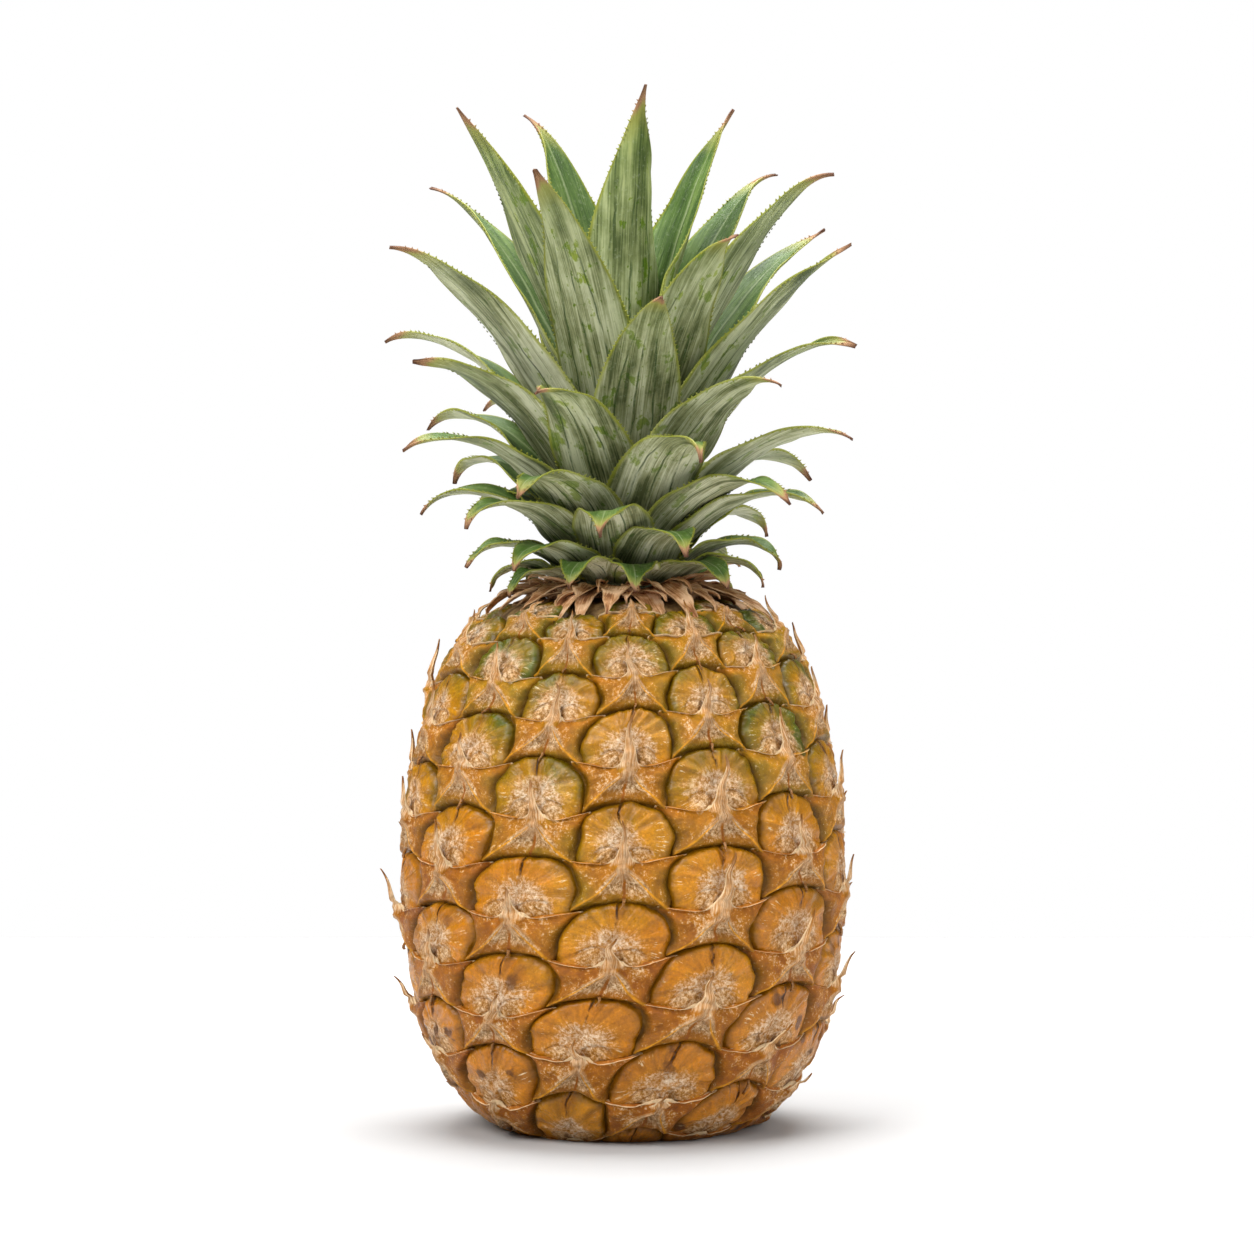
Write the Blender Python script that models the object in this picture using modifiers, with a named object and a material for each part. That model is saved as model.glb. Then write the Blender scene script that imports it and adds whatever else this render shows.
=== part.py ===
"""A whole pineapple, standing on its own flattened base.

Four pieces: the fruit with its eyes, bracts and spikes in relief, the cut stalk in the hollow of the base,
the crown of spined leaves on its stem, and the ring of dry flaps round the foot of the crown.
Metres, +Z up. The origin is on the surface that the fruit stands on, under the middle of the stalk, and the
side shown in the photograph faces -Y.
"""

import math
import random

import bmesh
import bpy
import numpy as np
from mathutils import Matrix, Vector, noise
from mathutils.geometry import delaunay_2d_cdt

MM = 0.001
GAP = 0.3 * MM

# Fruit: the turned outline under the relief, as (radius, height), from below the base to above the top
BODY_OUTLINE = (
    (12 * MM, -8 * MM),
    (24 * MM, -5 * MM),
    (34.5 * MM, 0.5 * MM),
    (46.5 * MM, 11 * MM),
    (56.5 * MM, 32 * MM),
    (61 * MM, 64 * MM),
    (59.3 * MM, 95 * MM),
    (53.2 * MM, 120 * MM),
    (46 * MM, 135 * MM),
    (35 * MM, 144.2 * MM),
    (22 * MM, 148.2 * MM),
    (10 * MM, 150 * MM),
)
BODY_TOP = 146 * MM
WIDEST_RADIUS = 61 * MM
OUTLINE_STEPS = 24

# Fruit: the spiral of the eyes
TURN_PER_EYE = math.radians(55.5)
STEPS_RIGHT = 7
STEPS_LEFT = 6
TURN_RIGHT = STEPS_RIGHT * TURN_PER_EYE - 2 * math.pi
TURN_LEFT = STEPS_LEFT * TURN_PER_EYE - 2 * math.pi
RISE_PER_EYE = 2.03 * MM
MIDDLE_EYE_HEIGHT = 83 * MM
FIRST_EYE = -55
LAST_EYE = 62
SHOULDER_HEIGHT = 88 * MM
SHOULDER_SHRINK = 0.8
FOOT_HEIGHT = 40 * MM
FOOT_STRETCH = 0.25
TWIST_BELOW = -6
TWIST_AT_FOOT = math.radians(-16)
TWIST_SPAN = 33
TWIST_POWER = 1.5
# The columns draw together on the front, from none at one step of the spiral to the most at another
SQUEEZE_FROM = -26
SQUEEZE_TO = 34
MOST_SQUEEZE = 0.28
RELIEF_FADE = 9 * MM
RELIEF_AT_RIM = 0.3

# Fruit: one eye laid flat, in mm from the middle of its dome, with x to the right and y up
TO_RIGHT_NEIGHBOUR = (27.1, 13.9)
TO_LEFT_NEIGHBOUR = (-26.3, 12.0)
# Each point is (x, y, height above the outline)
WING_TIPS = ((-16.0, -4.5, -0.6), (16.3, -3.4, -0.6))
BRACT_EDGE = (
    (-11.3, -5.2, 1.1),
    (-6.6, -6.2, 1.8),
    (-2.1, -4.0, 2.0),
    (0.0, -4.0, 5.2),
    (2.1, -4.0, 2.0),
    (6.6, -6.2, 1.8),
    (11.2, -4.8, 1.1),
)
SPIKE = 3
SPIKE_REACH = 9.5
DOME_LEFT = ((-15.2, 0.3, -2.6), (-13.4, 4.8, -2.8))
DOME_RIGHT = ((15.4, 1.5, -2.6), (13.8, 5.8, -2.8))
DOME_TOP = ((-5.3, 10.7, -2.9), (0.3, 11.4, -2.9), (6.2, 10.9, -2.9))
DOME_INNER = (
    (-12.0, 0.8, 0.9),
    (-10.6, 4.9, 0.9),
    (-5.0, 8.4, 1.1),
    (0.3, 9.1, 1.2),
    (5.6, 8.6, 1.1),
    (10.9, 5.4, 0.9),
    (12.2, 1.4, 0.9),
    (-5.6, 1.2, 0.9),
    (-3.0, 4.6, 0.8),
    (3.2, 4.6, 0.8),
    (5.8, 1.4, 0.9),
    (0.1, 1.6, -0.8),
    (0.0, -1.6, 0.7),
)
STAR_INNER = (
    (0.0, -6.0, 2.9),
    (-5.2, -10.8, 1.7),
    (5.0, -10.8, 1.7),
    (0.0, -10.2, 0.9),
    (-10.2, -8.2, 0.6),
    (10.2, -7.9, 0.6),
    (0.0, -13.6, -0.8),
)
# How far the eyes stray from the even spiral, in radians of turn, and in steps
TURN_WANDER = 0.05
STEP_WANDER = 0.65
WANDER_PITCH = 1.7
WANDER_SHIFT = Vector((9, 4, 2))
EYE_SIZE_SPREAD = 0.16
SPIKE_LEAN = 2.0
FIRST_EYE_SEED = 1000
# Steps along the spiral to each eye whose points a patch shares, as (rows right, rows left)
EYE_OFFSETS = {
    0: (0, 0),
    STEPS_RIGHT: (1, 0),
    STEPS_LEFT: (0, 1),
    -STEPS_RIGHT: (-1, 0),
    -STEPS_LEFT: (0, -1),
    -STEPS_RIGHT - STEPS_LEFT: (-1, -1),
}
GRID = Matrix((
    (TO_RIGHT_NEIGHBOUR[0], TO_LEFT_NEIGHBOUR[0]),
    (TO_RIGHT_NEIGHBOUR[1], TO_LEFT_NEIGHBOUR[1]),
))

# Stalk: the cut end in the hollow of the base
STALK_RADIUS = 12 * MM
HOLLOW_RADIUS = STALK_RADIUS + GAP
HOLLOW_DEPTH = 6 * MM
STALK_EDGE = 0.6 * MM
STALK_SIDES = 32

# Crown: the stem, as (radius, height)
STEM_FOOT = BODY_TOP + GAP
STEM_OUTLINE = (
    (17.0 * MM, STEM_FOOT),
    (17.0 * MM, 152 * MM),
    (13.0 * MM, 169 * MM),
    (8.0 * MM, 188 * MM),
    (2.0 * MM, 202 * MM),
)
STEM_SIDES = 20
SEAM_WELD = 0.001 * MM

# Crown: how a leaf changes from the lowest (level 0) to the topmost (level 1)
# level, root radius, root height, lean at the root, lean at the tip, length, half width
LEAF_STAGES = (
    (0.00, 14.5, 149.5, 60, 174, 26, 7.5),
    (0.12, 14.0, 152.0, 50, 158, 36, 10.2),
    (0.25, 12.8, 157.5, 44, 134, 53, 12.5),
    (0.37, 11.6, 162.5, 38, 122, 67, 13.2),
    (0.52, 9.8, 170.0, 32, 90, 80, 13.0),
    (0.67, 8.0, 177.0, 26, 72, 96, 12.4),
    (0.79, 6.4, 183.0, 20, 62, 102, 11.8),
    (0.90, 4.8, 189.0, 14, 52, 105, 11.2),
    (1.00, 2.5, 196.0, 3, 8, 94, 10.8),
)
LEAN_POWER = 2.0
# Leaves seen in the photograph, as (degrees to the right of the front, level, share of the level's width,
# share of its length, degrees added to its lean at the root, and at the tip)
SEEN_LEAVES = (
    (34, 1.00, 1.60, 0.98, 0, 0), (-127, 0.945, 1.50, 1.0, 0, 2), (121, 0.955, 1.50, 1.0, 4, 4),
    (-55, 0.90, 1.55, 1.01, 10, -12), (-118, 0.80, 1.50, 1.0, 3, -4), (-60, 0.65, 1.0, 0.98, 3, -5),
    (-24, 0.80, 1.12, 0.95, 4, -4), (131, 0.885, 1.30, 0.98, 5, -2), (66, 0.82, 1.15, 1.0, 6, -5),
    (126, 0.735, 1.35, 1.0, 6, 0), (63, 0.665, 1.05, 0.96, 6, -9), (27, 0.70, 1.10, 0.93, 2, 0),
    (8, 0.57, 1.0, 0.98, 0, 0), (-108, 0.56, 1.15, 1.02, 0, 7), (-61, 0.50, 1.0, 0.97, 0, 0),
    (66, 0.525, 1.10, 1.0, 0, 3), (37, 0.46, 0.95, 1.0, 0, 0), (-18, 0.43, 0.95, 1.0, 0, 0),
    (19, 0.345, 1.0, 1.0, 0, 0), (-121, 0.43, 1.30, 1.0, 0, 0), (-68, 0.375, 1.05, 0.97, 0, 0),
    (68, 0.385, 1.0, 0.95, 6, -16), (122, 0.36, 1.20, 0.95, 0, 10), (-129, 0.335, 1.25, 1.0, 0, 0),
    (-104, 0.255, 1.15, 1.0, 0, 0), (-51, 0.22, 1.0, 1.0, 0, 0), (-28, 0.28, 1.0, 1.0, 0, 0),
    (47, 0.28, 1.0, 1.0, 0, 10), (73, 0.25, 1.05, 1.0, 0, 0), (-6, 0.19, 1.0, 1.06, 0, 0),
    (21, 0.155, 1.0, 1.0, 0, 0), (-78, 0.13, 1.0, 0.95, 0, 0), (-43, 0.12, 1.0, 1.0, 0, 0),
    (83, 0.14, 1.20, 0.95, 0, 6), (-22, 0.05, 1.0, 1.0, 0, 0), (5, 0.035, 1.0, 1.0, 0, 0),
    (45, 0.05, 1.0, 1.0, 0, 0), (72, 0.06, 1.0, 1.0, 0, 0), (-76, 0.04, 1.0, 1.0, 0, 0),
    (-58, 0.01, 1.0, 1.0, 0, 0),
)
# Leaves within this angle of the front, up to this level, have a partner on the far side
PAIRED_WITHIN = 60
PAIRED_BELOW = 0.75
LEAF_ROWS = (6, 8)
LEAF_THICKNESS = 0.8 * MM
# Half angle of a blade's channel: the least, and the most where it wraps the stem
LEAF_CUP = 0.38
MOST_CUP = 1.1
WIDEST_AT = 0.30
ROOT_WIDTH = 0.72
TIP_WIDTH = 0.05
TAPER_START = 1.75
TAPER_END = 1.3
TOOTH = 0.55 * MM
BEND_STEPS = 12
LEAF_SWAY = 3 * MM
LEAF_ROLL = math.radians(18)
LEAF_STRETCH = 0.03
SHORT_LEAF_LEVEL = 0.36
LEAF_SEED = 11

# Collar: a band round the foot of the stem, and its flaps
COLLAR_INNER = 17.0 * MM + GAP
COLLAR_OUTER = 21.5 * MM
COLLAR_HEIGHT = 2.4 * MM
FLAP_COUNT = 14
FLAP_ROOT = 19.5 * MM
FLAP_THICKNESS = 0.7 * MM
FLAP_ROWS = 3
FLAP_CUP = 0.5
FLAP_ROOT_LEAN = (70, 80)
FLAP_TIP_LEAN = (115, 135)
FLAP_LENGTH = (13, 17)
FLAP_HALF_WIDTH = (2.8, 4.0)
FLAP_ROLL = math.radians(20)
FLAP_SHIFT = 0.25
FLAP_SEED = 5


def clear_scene():
    for thing in list(bpy.data.objects):
        bpy.data.objects.remove(thing, do_unlink=True)


def new_collection(name):
    collection = bpy.data.collections.new(name)
    bpy.context.scene.collection.children.link(collection)
    return collection


def new_material(name, colour, roughness):
    material = bpy.data.materials.new(name)
    material.use_nodes = True
    shader = material.node_tree.nodes["Principled BSDF"]
    shader.inputs["Base Color"].default_value = (*colour, 1.0)
    shader.inputs["Roughness"].default_value = roughness
    shader.inputs["Metallic"].default_value = 0.0
    return material


def add_object(name, mesh, collection, material=None):
    thing = bpy.data.objects.new(name, mesh)
    collection.objects.link(thing)
    if material is not None:
        mesh.materials.clear()
        mesh.materials.append(material)
    return thing


def shade_round(mesh, sharp_degrees):
    """Smooth shading, with edges past the angle left sharp."""
    mesh.shade_smooth()
    mesh.set_sharp_from_angle(angle=math.radians(sharp_degrees))


def smooth_step(value):
    value = min(max(value, 0.0), 1.0)
    return value * value * (3 - 2 * value)


def smooth_line(points, steps):
    """Points along a Catmull-Rom curve through the given points."""
    points = np.array(points, dtype=float)
    ends = (2 * points[0] - points[1], 2 * points[-1] - points[-2])
    padded = np.vstack((ends[0], points, ends[1]))
    line = []
    for index in range(1, len(padded) - 2):
        before, start, end, after = padded[index - 1:index + 3]
        for step in range(steps):
            t = step / steps
            line.append(0.5 * (2 * start + (end - before) * t
                               + (2 * before - 5 * start + 4 * end - after) * t ** 2
                               + (3 * start - before - 3 * end + after) * t ** 3))
    line.append(points[-1])
    return np.array(line)


class Body:
    """The fruit's turned outline, by distance along it, and the spiral of eyes on it."""

    def __init__(self):
        line = smooth_line(BODY_OUTLINE, OUTLINE_STEPS)
        runs = np.linalg.norm(np.diff(line, axis=0), axis=1)
        self.distance = np.concatenate(([0.0], np.cumsum(runs)))
        self.radius = line[:, 0]
        self.height = line[:, 1]
        slope = np.gradient(line, self.distance, axis=0)
        self.out_radial = slope[:, 1]
        self.out_up = -slope[:, 0]
        self.eyes = np.arange(FIRST_EYE - 20, LAST_EYE + 21)
        self.eye_distance = self.spread_eyes()

    def rise_at(self, distance):
        """Height of one step of the spiral: longer at the foot, shorter over the shoulder."""
        radius = np.interp(distance, self.distance, self.radius)
        height = np.interp(distance, self.distance, self.height)
        if height > SHOULDER_HEIGHT:
            return RISE_PER_EYE * (radius / WIDEST_RADIUS) ** SHOULDER_SHRINK
        return RISE_PER_EYE * (1 + FOOT_STRETCH * smooth_step(1 - height / FOOT_HEIGHT))

    def spread_eyes(self):
        middle = float(np.interp(MIDDLE_EYE_HEIGHT, self.height, self.distance))
        where = {0: middle}
        for eye in range(1, int(self.eyes[-1]) + 1):
            where[eye] = where[eye - 1] + self.rise_at(where[eye - 1])
        for eye in range(-1, int(self.eyes[0]) - 1, -1):
            where[eye] = where[eye + 1] - self.rise_at(where[eye + 1])
        return np.array([where[int(eye)] for eye in self.eyes])

    def point(self, step, turn, lift):
        """A point at a step and turn of the spiral, lifted off the outline."""
        place = WANDER_PITCH * Vector((math.sin(turn), -math.cos(turn), step / (STEPS_RIGHT + STEPS_LEFT)))
        turn += TURN_WANDER * noise.noise(place)
        step += STEP_WANDER * noise.noise(place + WANDER_SHIFT)
        squeeze = MOST_SQUEEZE * smooth_step((step - SQUEEZE_FROM) / (SQUEEZE_TO - SQUEEZE_FROM))
        twist = TWIST_AT_FOOT * (max(TWIST_BELOW - step, 0.0) / TWIST_SPAN) ** TWIST_POWER
        around = turn - squeeze * math.sin(turn) + twist
        distance = np.interp(step, self.eyes, self.eye_distance)
        foot = np.interp(0.0, self.height, self.distance)
        top = np.interp(BODY_TOP, self.height, self.distance)
        fade = smooth_step(min(distance - foot, top - distance) / RELIEF_FADE)
        lift *= RELIEF_AT_RIM + (1 - RELIEF_AT_RIM) * fade
        radius = np.interp(distance, self.distance, self.radius)
        height = np.interp(distance, self.distance, self.height)
        radius += lift * np.interp(distance, self.distance, self.out_radial)
        height += lift * np.interp(distance, self.distance, self.out_up)
        return Vector((radius * math.sin(around), -radius * math.cos(around), height))


class EyePattern:
    """One eye as a patch of triangles whose edges fit its neighbours' edges."""

    def __init__(self):
        self.points = {}
        self.name_row("wing", WING_TIPS)
        self.name_row("bract", BRACT_EDGE)
        self.name_row("left", DOME_LEFT)
        self.name_row("right", DOME_RIGHT)
        self.name_row("top", DOME_TOP)
        self.name_row("dome", DOME_INNER)
        self.name_row("star", STAR_INNER)
        self.faces = self.dome_faces() + self.star_faces()

    def name_row(self, name, row):
        for index, point in enumerate(row):
            self.points[name, index] = point

    def row(self, name, step=0):
        """Keys of a row of points, as (steps to the eye that owns it, name, index)."""
        return [(step, key[0], key[1]) for key in self.points if key[0] == name]

    def flat_place(self, key):
        step, name, index = key
        x, y, _ = self.points[name, index]
        right, left = EYE_OFFSETS[step]
        x += right * TO_RIGHT_NEIGHBOUR[0] + left * TO_LEFT_NEIGHBOUR[0]
        y += right * TO_RIGHT_NEIGHBOUR[1] + left * TO_LEFT_NEIGHBOUR[1]
        return Vector((x, y))

    def fill(self, edge, inner):
        """Triangles of the region within the edge, through its inner points."""
        keys = edge + inner
        flat = [self.flat_place(key) for key in keys]
        outline = [list(range(len(edge)))]
        result = delaunay_2d_cdt(flat, [], outline, 1, 1e-4)
        origin = [sources[0] for sources in result[3]]
        return [[keys[origin[corner]] for corner in face] for face in result[2]]

    def dome_faces(self):
        edge = [(0, "wing", 0)] + self.row("bract") + [(0, "wing", 1)]
        edge += self.row("right") + [(STEPS_RIGHT, "wing", 0)]
        edge += self.row("top")[::-1] + [(STEPS_LEFT, "wing", 1)]
        edge += self.row("left")[::-1]
        return self.fill(edge, self.row("dome"))

    def star_faces(self):
        below = -STEPS_RIGHT - STEPS_LEFT
        edge = [(-STEPS_RIGHT, "wing", 1)] + self.row("top", below) + [(-STEPS_LEFT, "wing", 0)]
        edge += self.row("left", -STEPS_LEFT) + [(0, "wing", 1)]
        edge += self.row("bract")[::-1] + [(0, "wing", 0)]
        edge += self.row("right", -STEPS_RIGHT)[::-1]
        return self.fill(edge, self.row("star"))


def eye_point(body, pattern, eye, name, index):
    """Where a point of the pattern lies for one eye of the spiral."""
    x, y, lift = pattern.points[name, index]
    chance = random.Random(FIRST_EYE_SEED + eye)
    size = 1 + chance.uniform(-EYE_SIZE_SPREAD, EYE_SIZE_SPREAD)
    lean = chance.uniform(-SPIKE_LEAN, SPIKE_LEAN)
    if (name, index) == ("bract", SPIKE):
        x += lean
        y += SPIKE_REACH * size
    if name in ("dome", "star", "bract"):
        lift *= size
    right, left = GRID.inverted() @ Vector((x, y))
    step = eye + STEPS_RIGHT * right + STEPS_LEFT * left
    turn = eye * TURN_PER_EYE + TURN_RIGHT * right + TURN_LEFT * left
    turn = math.remainder(turn, 2 * math.pi)
    return body.point(step, turn, lift * MM)


def fruit_skin():
    """The skin, eye by eye, cut level at the foot and the top and closed there."""
    body = Body()
    pattern = EyePattern()
    bm = bmesh.new()
    made = {}
    for eye in range(FIRST_EYE, LAST_EYE + 1):
        for face in pattern.faces:
            corners = []
            for step, name, index in face:
                key = (eye + step, name, index)
                if key not in made:
                    made[key] = bm.verts.new(eye_point(body, pattern, *key))
                corners.append(made[key])
            bm.faces.new(corners)
    for height, up in ((0.0, -1), (BODY_TOP, 1)):
        everything = bm.verts[:] + bm.edges[:] + bm.faces[:]
        bmesh.ops.bisect_plane(bm, geom=everything, plane_co=(0, 0, height), plane_no=(0, 0, up),
                               dist=1e-6, clear_outer=True)
        rim = [edge for edge in bm.edges if edge.is_boundary
               and all(abs(vert.co.z - height) < 1e-5 for vert in edge.verts)]
        bmesh.ops.holes_fill(bm, edges=rim, sides=0)
    bmesh.ops.recalc_face_normals(bm, faces=bm.faces[:])
    mesh = bpy.data.meshes.new("fruit")
    bm.to_mesh(mesh)
    bm.free()
    keep_main_body(mesh)
    shade_round(mesh, 50)
    return mesh


def make_fruit(parts, cutters):
    skin = new_material("pineapple_skin", (0.62, 0.30, 0.05), 0.5)
    fruit = add_object("fruit", fruit_skin(), parts, skin)
    bpy.ops.mesh.primitive_cylinder_add(vertices=STALK_SIDES, radius=HOLLOW_RADIUS, depth=2 * HOLLOW_DEPTH)
    cutter = bpy.context.object
    cutter.name = "hollow_cutter"
    cutter.hide_render = True
    cutter.display_type = "WIRE"
    for collection in list(cutter.users_collection):
        collection.objects.unlink(cutter)
    cutters.objects.link(cutter)
    hollow = fruit.modifiers.new("hollow", "BOOLEAN")
    hollow.operation = "DIFFERENCE"
    hollow.object = cutter
    return fruit


def make_stalk(parts):
    wood = new_material("cut_stalk", (0.42, 0.30, 0.16), 0.85)
    height = HOLLOW_DEPTH - GAP
    bm = bmesh.new()
    bmesh.ops.create_cone(bm, cap_ends=True, segments=STALK_SIDES, radius1=STALK_RADIUS, radius2=STALK_RADIUS,
                          depth=height, matrix=Matrix.Translation((0, 0, height / 2)))
    mesh = bpy.data.meshes.new("stalk_stub")
    bm.to_mesh(mesh)
    bm.free()
    shade_round(mesh, 40)
    stalk = add_object("stalk_stub", mesh, parts, wood)
    edge = stalk.modifiers.new("edge", "BEVEL")
    edge.width = STALK_EDGE
    edge.segments = 1
    edge.angle_limit = math.radians(60)
    return stalk


def turned(name, outline, sides, collection, material=None):
    """A closed turned solid from (radius, height) points that run up its outer side."""
    bm = bmesh.new()
    verts = [bm.verts.new((radius, 0, height)) for radius, height in reversed(outline)]
    for upper, lower in zip(verts, verts[1:]):
        bm.edges.new((upper, lower))
    mesh = bpy.data.meshes.new(name)
    bm.to_mesh(mesh)
    bm.free()
    thing = add_object(name, mesh, collection, material)
    screw = thing.modifiers.new("turn", "SCREW")
    screw.steps = sides
    screw.render_steps = sides
    screw.use_merge_vertices = True
    screw.merge_threshold = 0.0001
    return thing


def leaf_stage(level):
    levels = [stage[0] for stage in LEAF_STAGES]
    return [float(np.interp(level, levels, [stage[column] for stage in LEAF_STAGES]))
            for column in range(1, len(LEAF_STAGES[0]))]


def leaf_width(along):
    """Half width along the leaf, as a share of its greatest."""
    if along < WIDEST_AT:
        return ROOT_WIDTH + (1 - ROOT_WIDTH) * math.sin(math.pi / 2 * along / WIDEST_AT)
    past = (along - WIDEST_AT) / (1 - WIDEST_AT)
    return TIP_WIDTH + (1 - TIP_WIDTH) * (1 - past ** TAPER_START) ** TAPER_END


def blade(name, collection, thickness, rows, around, root, leans, length, half_width, cup, sway, roll):
    """A channelled blade that leaves its root along a bending line, edges notched into teeth.

    around is its direction, root its (radius, height), leans its lean from upright at root and tip. Each
    half of the sheet is split into triangles, so that both faces of the thickened blade are split alike.
    """
    out = Vector((math.sin(around), -math.cos(around), 0))
    side = Vector((math.cos(around), math.sin(around), 0))
    up = Vector((0, 0, 1))
    place = out * root[0] + up * root[1]
    bm = bmesh.new()
    sheet = []
    for row in range(rows + 1):
        along = row / rows
        lean = leans[0] + (leans[1] - leans[0]) * along ** LEAN_POWER
        forward = out * math.sin(lean) + up * math.cos(lean)
        back = out * math.cos(lean) - up * math.sin(lean)
        turn = Matrix.Rotation(roll * along ** 2, 3, forward)
        across, back = turn @ side, turn @ back
        half = half_width * leaf_width(along)
        middle = place + side * sway * along ** 2
        tooth = TOOTH if row % 2 and row < rows else 0.0
        from_axis = max(middle.xy.length, MM)
        curl = min(max(half * math.cos(lean) / from_axis, cup), MOST_CUP)
        reach = half * math.sin(curl) / curl + tooth
        depth = half * (1 - math.cos(curl)) / curl
        sheet.append([bm.verts.new(middle - across * reach - back * depth),
                      bm.verts.new(middle),
                      bm.verts.new(middle + across * reach - back * depth)])
        for part in range(BEND_STEPS):
            onward = (row + (part + 0.5) / BEND_STEPS) / rows
            lean = leans[0] + (leans[1] - leans[0]) * onward ** LEAN_POWER
            place = place + (out * math.sin(lean) + up * math.cos(lean)) * length / rows / BEND_STEPS
    for lower, upper in zip(sheet, sheet[1:]):
        bm.faces.new((lower[0], lower[1], upper[1]))
        bm.faces.new((lower[0], upper[1], upper[0]))
        bm.faces.new((lower[1], lower[2], upper[1]))
        bm.faces.new((lower[2], upper[2], upper[1]))
    mesh = bpy.data.meshes.new(name)
    bm.to_mesh(mesh)
    bm.free()
    thing = add_object(name, mesh, collection)
    solid = thing.modifiers.new("thickness", "SOLIDIFY")
    solid.thickness = thickness
    solid.offset = 0.0
    return thing


def keep_main_body(mesh):
    """Welds the slivers that a cut or a union leaves, and drops loose scraps and sealed hollows."""
    bm = bmesh.new()
    bm.from_mesh(mesh)
    bmesh.ops.remove_doubles(bm, verts=bm.verts[:], dist=SEAM_WELD)
    waiting = set(bm.faces)
    bodies = []
    while waiting:
        reached = [waiting.pop()]
        for face in reached:
            for edge in face.edges:
                for other in edge.link_faces:
                    if other in waiting:
                        waiting.remove(other)
                        reached.append(other)
        bodies.append(reached)
    bodies.sort(key=len)
    for scrap in bodies[:-1]:
        bmesh.ops.delete(bm, geom=scrap, context="FACES")
    bm.to_mesh(mesh)
    bm.free()


def join_into(base, collection):
    """One union of the base with every solid of the collection, which is then removed."""
    union = base.modifiers.new("union", "BOOLEAN")
    union.operation = "UNION"
    union.operand_type = "COLLECTION"
    union.collection = collection
    union.solver = "MANIFOLD"
    evaluated = base.evaluated_get(bpy.context.evaluated_depsgraph_get())
    joined = bpy.data.meshes.new_from_object(evaluated)
    keep_main_body(joined)
    shade_round(joined, 40)
    base.modifiers.clear()
    base.data = joined
    for thing in list(collection.objects):
        bpy.data.objects.remove(thing, do_unlink=True)
    bpy.data.collections.remove(collection)


def crown_leaves():
    """Every leaf, with its direction in radians: those seen, and partners on the far side."""
    leaves = []
    for degrees, level, *shape in SEEN_LEAVES:
        leaves.append((math.radians(degrees), level, *shape))
        if abs(degrees) < PAIRED_WITHIN and level < PAIRED_BELOW:
            leaves.append((math.radians(degrees + 180), level, *shape))
    return leaves


def make_crown(parts):
    green = new_material("crown_leaf", (0.16, 0.24, 0.10), 0.45)
    stem = turned("crown", STEM_OUTLINE, STEM_SIDES, parts)
    close_ends(stem)
    leaves = new_collection("leaves")
    chance = random.Random(LEAF_SEED)
    for number, (around, level, broad, long, root_lean, tip_lean) in enumerate(crown_leaves()):
        radius, height, first, last, length, half_width = leaf_stage(level)
        rows = LEAF_ROWS[0] if level < SHORT_LEAF_LEVEL else LEAF_ROWS[1]
        sway = chance.uniform(-LEAF_SWAY, LEAF_SWAY) * level
        roll = chance.uniform(-LEAF_ROLL, LEAF_ROLL)
        stretch = 1 + chance.uniform(-LEAF_STRETCH, LEAF_STRETCH)
        leans = (math.radians(first + root_lean), math.radians(last + tip_lean))
        blade(f"leaf_{number:02d}", leaves, LEAF_THICKNESS, rows, around, (radius * MM, height * MM),
              leans, length * long * stretch * MM, half_width * broad * MM, LEAF_CUP, sway, roll)
    join_into(stem, leaves)
    stem.data.materials.clear()
    stem.data.materials.append(green)
    return stem


def close_ends(thing):
    """Takes a turned surface as it is shaped, welds a ring's seam and closes the open ends that are left."""
    evaluated = thing.evaluated_get(bpy.context.evaluated_depsgraph_get())
    mesh = bpy.data.meshes.new_from_object(evaluated)
    bm = bmesh.new()
    bm.from_mesh(mesh)
    bmesh.ops.remove_doubles(bm, verts=bm.verts[:], dist=SEAM_WELD)
    bmesh.ops.holes_fill(bm, edges=[edge for edge in bm.edges if edge.is_boundary], sides=0)
    bmesh.ops.recalc_face_normals(bm, faces=bm.faces[:])
    bm.to_mesh(mesh)
    bm.free()
    thing.modifiers.clear()
    thing.data = mesh


def make_collar(parts):
    straw = new_material("dry_flap", (0.40, 0.22, 0.11), 0.8)
    foot = STEM_FOOT
    rim = foot + COLLAR_HEIGHT * 0.6
    band = ((COLLAR_INNER, foot), (COLLAR_OUTER, foot), (COLLAR_OUTER, rim),
            (COLLAR_INNER, foot + COLLAR_HEIGHT), (COLLAR_INNER, foot))
    collar = turned("dry_collar", band, STEM_SIDES, parts)
    close_ends(collar)
    flaps = new_collection("flaps")
    chance = random.Random(FLAP_SEED)
    for number in range(FLAP_COUNT):
        around = 2 * math.pi * (number + chance.uniform(-FLAP_SHIFT, FLAP_SHIFT)) / FLAP_COUNT
        rise = foot + COLLAR_HEIGHT / 2
        leans = (math.radians(chance.uniform(*FLAP_ROOT_LEAN)), math.radians(chance.uniform(*FLAP_TIP_LEAN)))
        length = chance.uniform(*FLAP_LENGTH) * MM
        half_width = chance.uniform(*FLAP_HALF_WIDTH) * MM
        roll = chance.uniform(-FLAP_ROLL, FLAP_ROLL)
        blade(f"flap_{number:02d}", flaps, FLAP_THICKNESS, FLAP_ROWS, around, (FLAP_ROOT, rise), leans,
              length, half_width, FLAP_CUP, 0.0, roll)
    join_into(collar, flaps)
    collar.data.materials.clear()
    collar.data.materials.append(straw)
    return collar


def main():
    clear_scene()
    parts = new_collection("pineapple")
    cutters = new_collection("cutters")
    make_fruit(parts, cutters)
    make_stalk(parts)
    make_crown(parts)
    make_collar(parts)


main()
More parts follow.
